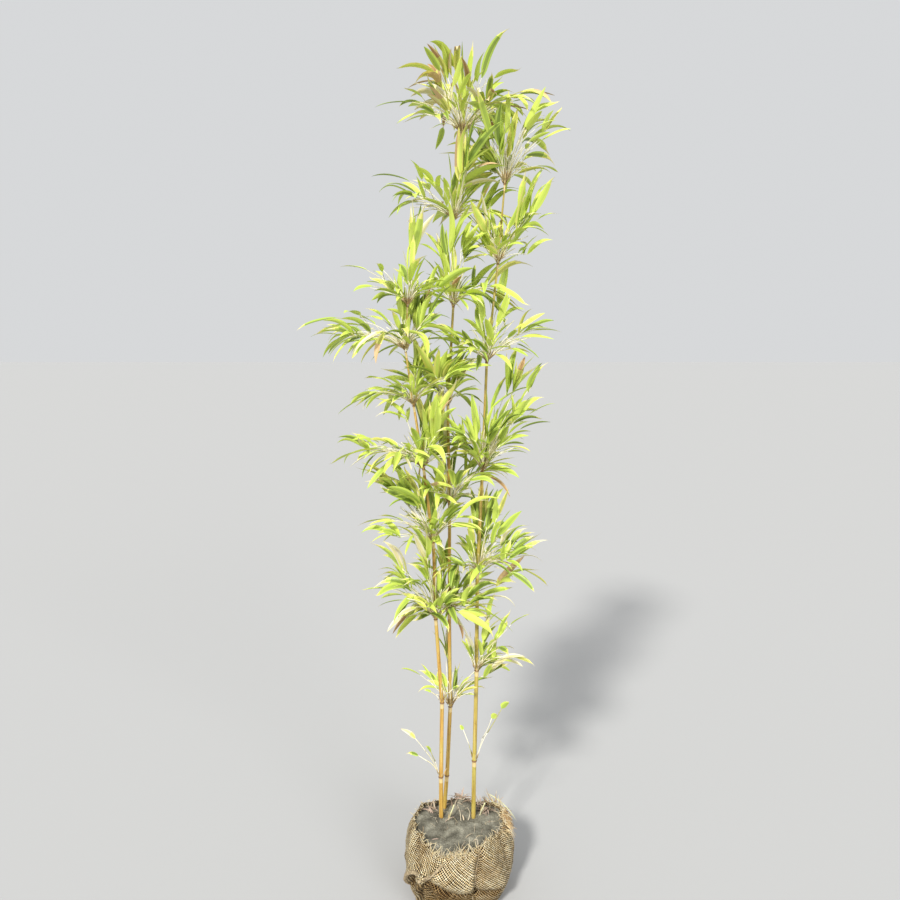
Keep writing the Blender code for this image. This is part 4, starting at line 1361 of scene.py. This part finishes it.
# The tail above the knot, the bundle beside it and the twine in the seam: points of
# degrees, level and outwards; radii; sides, lobes, turns and depth of the lobes.
TIES = (
    (((-126, 0.69, 0.012), (-119, 0.78, 0.010), (-113, 0.87, 0.008), (-107, 0.96, 0.007)),
     (0.0034, 0.0026, 0.0023, 0.0026), 18, 2, 2.6, 0.38),
    (((-154, 0.24, -0.006), (-152, 0.40, 0.000), (-146, 0.56, 0.002), (-137, 0.67, 0.003),
      (-128, 0.70, 0.004), (-122, 0.68, -0.004)),
     (0.003, 0.0042, 0.0048, 0.0046, 0.0042, 0.003), 24, 5, 0.9, 0.15),
    (((-62, 1.02, 0.001), (-65, 0.93, 0.002), (-69, 0.76, 0.0015), (-73, 0.55, 0.001),
      (-72, 0.30, 0.001), (-73, 0.05, 0.001)), (0.0011, 0.0011), 8, 2, 14, 0.25),
)

FRINGE_COUNT = 900
FRINGE_ROOTS = (0.06, 0.145)       # square roots of the frayed ends' lengths
HAIRS = 1500                       # short hairs that stand off the cloth
HAIR_LENGTH = (0.002, 0.006)
HAIR_RADIUS = 0.00022
RAISED_RIM = 0.008
LONG_FRINGE = (radians(32), 0.42)  # where the frayed rim stands highest, and its spread
FLAP_FRINGE = (radians(-100), 0.60)
SIDE_TUFT = (radians(6), 170)      # brown fibres hanging over the right rim: angle, count
SIDE_TUFT_SPREAD = 0.14
SIDE_TUFT_LENGTH = (0.012, 0.030)
FIBRE_TAPER = (1.0, 1.0, 0.9, 0.8, 0.5)
FIBRE_ROWS = len(FIBRE_TAPER) - 1
FIBRE_CURL = 0.35


def dealt_folds():
    """Folds that fan down from the rim round the sides and the back."""
    rng = random.Random(SIDE_FOLD_SEED)
    folds = list(FRONT_FOLDS)
    span = 360 - (FRONT_ZONE[1] - FRONT_ZONE[0])
    for number in range(SIDE_FOLD_COUNT):
        angle = FRONT_ZONE[1] + span * (number + rng.uniform(0.2, 0.8)) / SIDE_FOLD_COUNT
        drift = rng.uniform(-9, 9)
        low = rng.uniform(0.05, 0.45)
        line = ((angle, 1.0), (angle + 0.4 * drift, 0.5 + low / 2), (angle + drift, low))
        rise = rng.uniform(*SIDE_FOLD_RISE) * alternate(number)
        folds.append(Fold(rise, rng.uniform(*SIDE_FOLD_WIDTH), line))
    return folds


FOLD_LINES = dealt_folds()


def rim_height(angle):
    height = RIM_HEIGHT + RIM_WAVE * sin(RIM_WAVES * angle)
    for place, spread, depth in RIM_DIPS:
        height -= depth * bump(angle_from(angle, radians(place)), 0, spread)
    return height


def profile_radius(level):
    if level < WIDEST_LEVEL:
        rise = sqrt(1 - (1 - level / WIDEST_LEVEL) ** 2)
        return FOOT_RADIUS + (BALL_RADIUS - FOOT_RADIUS) * rise
    fall = ((level - WIDEST_LEVEL) / (1 - WIDEST_LEVEL)) ** MOUTH_CURVE
    return BALL_RADIUS + (MOUTH_RADIUS - BALL_RADIUS) * fall


def burlap_radius(angle, level):
    radius = profile_radius(level) + SIDE_SWELL * abs(cos(angle)) ** 3
    for count, start, twist, height in FOLDS:
        radius += height * sin(count * angle + start + twist * level)
    seam = bump(angle_from(angle, SEAM_ANGLE), 0, SEAM_SPREAD)
    radius -= SEAM_DEPTH * seam * sin(pi * level)
    knot = bump(angle_from(angle, KNOT_ANGLE), 0, KNOT_SPREAD)
    return radius + KNOT_BULGE * knot * bump(level, KNOT_LEVEL, KNOT_RISE)


def fold_distance(angle, level, line):
    """Distance over the ball's skin from a place to a fold's line."""
    best = 1.0
    for (first, low), (second, high) in zip(line, line[1:]):
        start = radians(first)
        run = Vector((BALL_RADIUS * radians(second - first), RIM_HEIGHT * (high - low)))
        place = Vector((BALL_RADIUS * angle_from(angle, start), RIM_HEIGHT * (level - low)))
        share = min(max(place.dot(run) / run.length_squared, 0.0), 1.0)
        best = min(best, (place - share * run).length)
    return best


def wrap_radius(angle, level):
    """Radius of the cloth, with its folds and crumples, which die out at the foot."""
    radius = burlap_radius(angle, min(level, 1.0))
    relief = 0.0
    for fold in FOLD_LINES:
        relief += fold.rise * bump(fold_distance(angle, level, fold.line), 0, fold.width)
    place = Vector((cos(angle), sin(angle), 1.4 * level))
    relief += sum(height * noise.noise(fine * place) for height, fine in CRUMPLES)
    return radius + relief * min(1.0, 8 * level)


def wrap_height(angle, level):
    place = heading(angle, 0)
    frayed = sum(height * noise.noise(fine * place) for height, fine in RIM_FRAYS)
    frayed += RAISED_RIM * bump(angle_from(angle, LONG_FRINGE[0]), 0, LONG_FRINGE[1])
    return level * rim_height(angle) + frayed * max(0.0, 5 * (level - FRAY_START))


def wrap_point(angle, level, outwards=0.0):
    radius = wrap_radius(angle, level) + outwards
    return Vector((radius * cos(angle), radius * sin(angle), wrap_height(angle, level)))


def weave_place(angle, level):
    """Place on the cloth, counted in yarns."""
    return BALL_RADIUS * angle / YARN_PITCH, WRAP_RISE * level / YARN_PITCH


def weave_turn(angle, level):
    """Turn of the weave: the cloth that crosses the front and right lies slantwise."""
    edge = float(np.interp(level, SLANT_LEVELS, SLANT_EDGE))
    return SLANT if edge < degrees(angle) < SLANT_END else 0.0


def painted_shade_depth(angle, level):
    """Painted shade of a place: 1 at the bottom of a crease, some under the pillow and in other
    patches, and some towards the foot.
    """
    depth = FOOT_SHADE[0] * bump(level, 0, FOOT_SHADE[1])
    for fold in FOLD_LINES:
        if fold.rise < 0:
            near = bump(fold_distance(angle, level, fold.line), 0, 1.3 * fold.width)
            depth += near * min(1.0, -fold.rise / DEEP_CREASE)
    for place, middle, spread, tall, share in PAINTED_SHADE_PATCHES:
        away = angle_from(angle, radians(place))
        depth += share * bump(away, 0, spread) * bump(level, middle, tall)
    return min(depth, 1.0)


def woven_piece(name, points, faces, places, turns, darkenings, nodes=()):
    """A piece of cloth: each point's place on its weave and how far it is darkened, mostly
    painted shade, and the turn of each face's weave."""
    mesh = mesh_of(name, points, faces)
    weave = mesh.uv_layers.new(name=WEAVE_MAP)
    for polygon, turn in zip(mesh.polygons, turns):
        for loop in polygon.loop_indices:
            across, up = places[mesh.loops[loop].vertex_index]
            weave.data[loop].uv = (cos(turn) * across + sin(turn) * up,
                                   cos(turn) * up - sin(turn) * across)
    depth = mesh.attributes.new(DARKENING_MAP, "FLOAT", "POINT")
    depth.data.foreach_set("value", darkenings)
    mesh.materials.append(BURLAP)
    finish_piece(name, mesh, nodes)


def add_wrap():
    """The burlap: its underside, its outer face, its frayed rim and its inner face."""
    columns = [WRAP_START + 2 * pi * side / WRAP_SIDES for side in range(WRAP_SIDES + 1)]
    levels = []
    points = []
    for share in UNDERSIDE_RINGS:
        levels.append(0.4 * (share - 1))
        foot = share * FOOT_RADIUS
        points += [Vector((foot * cos(angle), foot * sin(angle), 0)) for angle in columns]
    for row in range(WRAP_ROWS + 1):
        levels.append((row / WRAP_ROWS) ** 0.9)
        points += [wrap_point(angle, levels[-1]) for angle in columns]
    for level in INNER_ROWS:
        levels.append(2 - level)
        points += [wrap_point(angle, level, -BURLAP_THICKNESS) for angle in columns]
    places = [weave_place(angle, level) for level in levels for angle in columns]
    heights = [min(max(level, 0.0), 1.0) for level in levels]
    darkenings = [painted_shade_depth(angle, height) for height in heights for angle in columns]
    faces = grid_faces(len(levels), len(columns))
    turns = [weave_turn(angle, level) for level in levels[:-1] for angle in columns[:-1]]
    woven_piece("burlap_cloth", points, faces, places, turns, darkenings, ["burlap_wrap"])


PATH_STEPS = 8                     # steps between two points of a path on the cloth


def ball_path(line):
    """Smooth path over the cloth through points of (degrees, level, outwards)."""
    path = []
    for (first, low, near), (second, high, far) in zip(line, line[1:]):
        for step in range(PATH_STEPS):
            share = step / PATH_STEPS
            angle = radians(first + share * (second - first))
            level = low + share * (high - low)
            path.append(wrap_point(angle, level, near + share * (far - near)))
    angle, level, outwards = line[-1]
    path.append(wrap_point(radians(angle), level, outwards))
    return smoothed(path)


def smoothed(path, times=4):
    for _ in range(times):
        middles = [(a + 2 * b + c) / 4 for a, b, c in zip(path, path[1:], path[2:])]
        path = [path[0]] + middles + [path[-1]]
    return path


def spread_radii(radii, count):
    """Radii along a path, evenly between the given ones."""
    places = [(len(radii) - 1) * number / (count - 1) for number in range(count)]
    return [float(value) for value in np.interp(places, range(len(radii)), radii)]


def add_knot():
    """The gathered knob of cloth that closes the wrap, pleated towards its middle."""
    centre = wrap_point(*KNOT_PLACE, 0.002)
    out = Vector((cos(KNOT_PLACE[0]), sin(KNOT_PLACE[0]), 0.25)).normalized()
    axes = cross_axes(out)
    points = []
    places = []
    for row in range(KNOT_ROWS + 1):
        slope = pi * (row + 0.02) / (KNOT_ROWS + 0.04)
        for side in range(KNOT_SIDES + 1):
            turn = 2 * pi * side / KNOT_SIDES
            pleat = 1 + 0.16 * sin(KNOT_PLEATS * turn + 3 * slope) * sin(slope)
            pleat += 0.10 * sin(2 * turn + 1)
            level = KNOT_RADIUS * pleat * sin(slope)
            rise = KNOT_SQUASH * KNOT_RADIUS * cos(slope)
            rise *= 1 - 0.35 * bump(sin(slope), 0, 0.35)
            points.append(centre + rise * out + level * about(turn, *axes))
            places.append((turn * KNOT_RADIUS / YARN_PITCH, slope * KNOT_RADIUS / YARN_PITCH))
    faces = grid_faces(KNOT_ROWS + 1, KNOT_SIDES + 1)
    turns, darkenings = [0.0] * len(faces), [KNOT_DARKENING] * len(points)
    woven_piece("burlap_knot", points, faces, places, turns, darkenings)


def add_ties():
    """The twisted tail above the knot, the bundle beside it and the twine in the seam."""
    batch = Batch()
    for line, radii, *winding in TIES:
        path = ball_path(line)
        batch.add(*strand(path, spread_radii(radii, len(path)), *winding), STRAND)
    batch.piece("burlap_ties", "burlap")


def add_fibre(batch, root, way, length, radius, droop, material, rng):
    """One loose curling fibre."""
    side = way.orthogonal().normalized() * rng.uniform(-FIBRE_CURL, FIBRE_CURL) * length
    side = Matrix.Rotation(rng.uniform(0, 2 * pi), 3, way) @ side
    path = []
    for step in range(FIBRE_ROWS + 1):
        share = step / FIBRE_ROWS
        sag = Vector((0, 0, -droop * length * share ** 2))
        path.append(root + share * length * way + share ** 2 * side + sag)
    batch.add(*strand(path, [taper * radius for taper in FIBRE_TAPER], 3), material)


def level_axes(angle):
    """The level ways out of the ball and round it."""
    out = heading(angle, 0)
    return out, Vector((-out.y, out.x, 0))


def add_fringe():
    """Frayed ends all round the rim, longest at the back right."""
    rng = random.Random(FRINGE_SEED)
    batch = Batch()
    for _ in range(FRINGE_COUNT):
        angle = rng.uniform(0, 2 * pi)
        tall = bump(angle_from(angle, LONG_FRINGE[0]), 0, LONG_FRINGE[1])
        flap = bump(angle_from(angle, FLAP_FRINGE[0]), 0, FLAP_FRINGE[1])
        if rng.random() > 0.45 + 0.55 * max(tall, flap):
            continue
        root = wrap_point(angle, rng.uniform(0.965, 1.0), -rng.uniform(0.0, BURLAP_THICKNESS))
        out, around = level_axes(angle)
        lean = rng.uniform(-1.3, 0.7) * (1 - 0.6 * tall)
        way = (Vector((0, 0, 1)) + lean * out + rng.uniform(-0.9, 0.9) * around).normalized()
        length = rng.uniform(*FRINGE_ROOTS) ** 2 * (1 + 1.1 * tall + 1.4 * flap)
        look = rng.choices((JUTE, ROOT_FIBRE, JUTE_BROWN), (6, 3, 1 + 3 * tall))[0]
        radius = rng.uniform(0.0004, 0.0010)
        add_fibre(batch, root, way, length, radius, rng.uniform(0, 0.9), look, rng)
    centre, count = SIDE_TUFT
    for _ in range(count):
        angle = centre + rng.gauss(0, SIDE_TUFT_SPREAD)
        root = wrap_point(angle, rng.uniform(0.93, 1.0), rng.uniform(-0.002, 0.001))
        out = heading(angle, 0)
        way = (out + Vector((0, rng.uniform(-0.6, 0.6), rng.uniform(-0.4, 0.5)))).normalized()
        look = rng.choice((JUTE_BROWN, JUTE, JUTE_TAN))
        length = rng.uniform(*SIDE_TUFT_LENGTH)
        add_fibre(batch, root, way, length, 0.0008, rng.uniform(0.4, 1.0), look, rng)
    for _ in range(HAIRS):
        angle = rng.uniform(0, 2 * pi)
        level = rng.uniform(0.08, 0.98)
        root = wrap_point(angle, level, -0.0004)
        out, around = level_axes(angle)
        way = rng.uniform(-1, 1) * around + Vector((0, 0, rng.uniform(-1, 1)))
        way = (way + 0.45 * out).normalized()
        look = rng.choice((JUTE, JUTE_TAN, ROOT_FIBRE))
        add_fibre(batch, root, way, rng.uniform(*HAIR_LENGTH), HAIR_RADIUS, 0.2, look, rng)
    batch.piece("burlap_fringe", "burlap")


# --- soil -----------------------------------------------------------------------------------

SOIL_SIDES = 200
SOIL_ROWS = 80
SOIL_LUMP = 0.0030
LUMP_NOISE = (0.6, 2.1, 4)         # dimension, lacunarity and octaves
LUMP_FINENESS = 38
SOIL_GRAIN = 0.0013
GRAIN_FINENESS = 210
SOIL_EDGE = 0.83                   # share of its radius where the soil turns to the rim
SOIL_EDGE_LEVEL = 0.95
CRUMBS = 420
CRUMB_SIZE = (0.0009, 0.0026)      # least radius, and what the largest have more
MULCH = 150
MULCH_REACH = 0.100
MULCH_LENGTH = (0.010, 0.030)
MULCH_WIDTH = (0.006, 0.014)
# Heaps of dry sheaths: place, spread, share of the pieces.
MULCH_PLACES = (((0.010, 0.078), 0.026, 5), ((0.066, 0.050), 0.020, 4),
                ((-0.062, 0.060), 0.022, 2), ((0.010, 0.0), 0.080, 1))
# Straw blades lying over the rim: both ends, and width.
STRAW_BLADES = (((0.078, 0.078, 0.196), (0.150, 0.002, 0.170), 0.0060),
                ((0.084, 0.060, 0.188), (0.122, 0.036, 0.176), 0.0050))
ROOT_LOOPS = (((-0.002, 0.058), (0.006, 0.030), (0.008, 0.004)),
              ((0.026, 0.046), (0.033, 0.026), (0.026, 0.008)))
ROOT_LOOP_RADIUS = 0.0009
ROOT_LOOP_RISES = (0.0005, 0.006, 0.0005)
LOOSE_ROOTS = 34


def soil_top(x, y):
    fall = SOIL_FALL * max(0.0, -y) + BACK_FALL * max(0.0, y - BACK_EDGE)
    aside = hypot(x - MOUND_PLACE[0], y - MOUND_PLACE[1])
    mound = MOUND_RISE * bump(aside, 0, MOUND_RADIUS)
    return SOIL_HEIGHT - fall + mound


def soil_surface(x, y):
    """The soil's top with its lumps, meeting the cloth below the rim."""
    angle = atan2(y, x)
    share = hypot(x, y) / (burlap_radius(angle, SOIL_EDGE_LEVEL) - BURLAP_THICKNESS)
    height = soil_top(x, y)
    if share > SOIL_EDGE:
        turned = (share - SOIL_EDGE) / (1 - SOIL_EDGE)
        height += turned * (SOIL_EDGE_LEVEL * rim_height(angle) - height)
    place = Vector((x, y, 0))
    lumps = SOIL_LUMP * noise.fractal(LUMP_FINENESS * place, *LUMP_NOISE)
    return height + lumps + SOIL_GRAIN * noise.noise(GRAIN_FINENESS * place)


def on_soil(x, y, above=0.0):
    return Vector((x, y, soil_surface(x, y) + above))


def add_soil():
    batch = Batch()
    points = [on_soil(0, 0)]
    for row in range(1, SOIL_ROWS + 1):
        for side in range(SOIL_SIDES):
            angle = 2 * pi * side / SOIL_SIDES
            edge = burlap_radius(angle, SOIL_EDGE_LEVEL) - 0.5 * BURLAP_THICKNESS
            reach = edge * row / SOIL_ROWS
            points.append(on_soil(reach * cos(angle), reach * sin(angle)))
    faces = [(0, 1 + side, 1 + (side + 1) % SOIL_SIDES) for side in range(SOIL_SIDES)]
    for row in range(SOIL_ROWS - 1):
        faces += band(1 + row * SOIL_SIDES, 1 + (row + 1) * SOIL_SIDES, SOIL_SIDES)
    faces = [tuple(reversed(face)) if len(face) == 4 else face for face in faces]
    batch.add(points, faces, SOIL)
    batch.piece("soil_ground", "soil", "soil")


def soil_place(rng, spread=0.9):
    angle = rng.uniform(0, 2 * pi)
    edge = burlap_radius(angle, SOIL_EDGE_LEVEL) - BURLAP_THICKNESS
    reach = spread * edge * sqrt(rng.random())
    return on_soil(reach * cos(angle), reach * sin(angle))


LUMP_POINTS = [Vector(point) for point in (
    (1, 0, 0), (-1, 0, 0), (0, 1, 0), (0, -1, 0), (0, 0, 1), (0, 0, -1))]
LUMP_FACES = ((0, 2, 4), (2, 1, 4), (1, 3, 4), (3, 0, 4),
              (2, 0, 5), (1, 2, 5), (3, 1, 5), (0, 3, 5))


def lump_shape(rng, size):
    """A rough lump: an octahedron, split once, with each point moved at random."""
    points = [point.copy() for point in LUMP_POINTS]
    faces = []
    middles = {}
    for face in LUMP_FACES:
        half = []
        for first, second in zip(face, face[1:] + face[:1]):
            key = (min(first, second), max(first, second))
            if key not in middles:
                middles[key] = len(points)
                points.append((points[first] + points[second]).normalized())
            half.append(middles[key])
        a, b, c = face
        ab, bc, ca = half
        faces += [(a, ab, ca), (ab, b, bc), (ca, bc, c), (ab, bc, ca)]
    return [size * rng.uniform(0.72, 1.2) * point for point in points], faces


def add_crumbs():
    rng = random.Random(CRUMB_SEED)
    batch = Batch()
    for _ in range(CRUMBS):
        place = soil_place(rng)
        size = CRUMB_SIZE[0] + CRUMB_SIZE[1] * rng.random() ** 3
        points, faces = lump_shape(rng, size)
        batch.add([place + point for point in points], faces, SOIL)
    batch.piece("soil_crumbs", "soil")


def add_litter():
    """Dry sheaths, straw blades, pale roots and loose fibres on the soil."""
    rng = random.Random(LITTER_SEED)
    batch = Batch()
    heaps = [(place, spread) for place, spread, share in MULCH_PLACES for _ in range(share)]
    for _ in range(MULCH):
        (x, y), spread = rng.choice(heaps)
        x += rng.gauss(0, 0.6) * spread
        y += rng.gauss(0, 0.6) * spread
        if hypot(x, y) > MULCH_REACH:
            continue
        root = on_soil(x, y, rng.uniform(0, 0.003))
        way = heading(rng.uniform(0, 2 * pi), rng.uniform(-0.05, 0.65))
        tip = root + rng.uniform(*MULCH_LENGTH) * way
        leaf = Leaf(root, tip, rng.uniform(-1, 1), rng.uniform(0.0, 0.2), 0)
        look = rng.choice((LITTER_DARK, LITTER_TAN, LITTER_PINK, LITTER_PINK))
        add_blade(batch, leaf, rng.uniform(*MULCH_WIDTH), whole(look), rng)
    for low, high, width in STRAW_BLADES:
        leaf = Leaf(Vector(low), Vector(high), 0.2, 0.04, 0)
        add_blade(batch, leaf, width, whole(STRAW), rng)
    for loop in ROOT_LOOPS:
        path = [on_soil(*place, rise) for place, rise in zip(loop, ROOT_LOOP_RISES)]
        path = smoothed(finer_path(path, 6), 6)
        batch.add(*strand(path, [ROOT_LOOP_RADIUS] * len(path), 6), ROOT_FIBRE)
    for _ in range(LOOSE_ROOTS):
        root = soil_place(rng, 0.85) + Vector((0, 0, 0.0004))
        way = heading(rng.uniform(0, 2 * pi), rng.uniform(0, 0.25))
        look = rng.choice((ROOT_FIBRE, JUTE, LITTER_TAN))
        add_fibre(batch, root, way, rng.uniform(0.010, 0.030), 0.0005, 0.1, look, rng)
    batch.piece("soil_litter", "straw")


def finer_path(path, steps):
    found = []
    for first, second in zip(path, path[1:]):
        found += [first + (second - first) * step / steps for step in range(steps)]
    return found + [path[-1]]


SHOOT_ROWS = 14
SHOOT_WAVER = 0.0004
SHOOT_SHEATHS = (0.4, 2.6, 4.4)    # where the split sheath's strips stand, in radians
SHOOT_SHEATH_WIDTH = 0.008


def add_shoots():
    """The dry cut shoots, with a split sheath."""
    rng = random.Random(SHOOT_SEED)
    for name, (foot, lean, length) in SHOOTS.items():
        way = leaning(lean, SHOOT_BACK_LEAN)
        place = Vector((*foot, soil_top(*foot)))
        batch = Batch()
        path = []
        radii = []
        for step in range(SHOOT_ROWS + 1):
            share = step / SHOOT_ROWS
            along = -SHOOT_SOCKET + share * length
            waver = SHOOT_WAVER * Vector((sin(9 * share), cos(7 * share), 0))
            path.append(place + along * way + waver)
            swell = 0.16 * bump(share, 0.62, 0.03) - 0.10 * bump(share, 0.66, 0.02)
            radii.append(SHOOT_RADIUS * (1 - 0.2 * share + swell + rng.uniform(-0.03, 0.03)))
        batch.add(*strand(path, radii, 10), STRAW)
        for turn in SHOOT_SHEATHS:
            out = heading(turn, 0)
            root = place + rng.uniform(0.0, 0.012) * way + 0.8 * SHOOT_RADIUS * out
            tip = root + rng.uniform(0.014, 0.024) * (way + 0.25 * out).normalized()
            leaf = Leaf(root, tip, 0.2, 0.03, 0)
            look = rng.choice((SHEATH_TAN, TWIG_PALE))
            add_blade(batch, leaf, SHOOT_SHEATH_WIDTH, whole(look), rng)
        batch.piece(name.replace("dry_shoot", "shoot_straw"), "straw", name)


# --- floor, light and camera -------------------------------------------------------------------

CAMERA_PLACE = (-0.0197, -1.53, 1.373)
CAMERA_PITCH = radians(90 - 9.3)   # from straight down
FOCAL_PIXELS = 676
IMAGE_PIXELS = 900
SENSOR = 36
FLOOR_REACH = 40.0
FLOOR_COLOUR = (0.42, 0.42, 0.42)
SKY_COLOUR = (0.97, 0.985, 1.0)
SKY_STRENGTH = 0.70
# Name, place, power, spread in degrees and colour of each.
SUNS = (("key", (-1.3, -2.6, 2.7), 3.6, 8, (1.0, 0.985, 0.94)),
        ("fill", (1.8, -2.4, 1.2), 1.45, 30, (0.97, 0.99, 1.0)))


def add_camera():
    data = bpy.data.cameras.new("camera")
    data.sensor_width = SENSOR
    data.lens = FOCAL_PIXELS / IMAGE_PIXELS * SENSOR
    camera = linked("camera", data)
    camera.location = CAMERA_PLACE
    camera.rotation_euler = (CAMERA_PITCH, 0, 0)
    bpy.context.scene.camera = camera


def add_sun(name, place, power, spread, colour):
    """Soft daylight that comes from a place towards the plant."""
    data = bpy.data.lights.new(name, "SUN")
    data.energy = power
    data.angle = radians(spread)
    data.color = colour
    light = linked(name, data)
    light.location = place
    light.rotation_euler = (-Vector(place)).to_track_quat("-Z", "Y").to_euler()


def add_studio():
    corners = ((-1, -1), (1, -1), (1, 1), (-1, 1))
    points = [(x * FLOOR_REACH, y * FLOOR_REACH, 0) for x, y in corners]
    mesh = mesh_of("floor", points, [(0, 1, 2, 3)])
    mesh.materials.append(plain("floor_pale", FLOOR_COLOUR, 0.9, 0.2))
    floor = linked("floor", mesh)
    floor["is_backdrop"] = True
    world = bpy.data.worlds.new("studio")
    world.use_nodes = True
    sky = world.node_tree.nodes["Background"]
    sky.inputs["Color"].default_value = (*SKY_COLOUR, 1.0)
    sky.inputs["Strength"].default_value = SKY_STRENGTH
    bpy.context.scene.world = world
    for sun in SUNS:
        add_sun(*sun)


def write_sizes():
    """The corners of the CAD box and of the visual model's box, rounded and not kept."""
    for name, (low, high) in (("cad", cad_box), ("visual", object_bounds())):
        [round(value, 5) for value in low]
        [round(value, 5) for value in high]


def main():
    add_camera()
    add_studio()
    rng = random.Random(CULM_SEED)
    for name, culm in CULMS.items():
        add_culm(name, culm, rng)
    add_foliage()
    add_wrap()
    add_knot()
    add_ties()
    add_fringe()
    add_soil()
    add_crumbs()
    add_litter()
    add_shoots()
    bpy.context.scene.view_settings.view_transform = "Standard"
    write_sizes()


main()
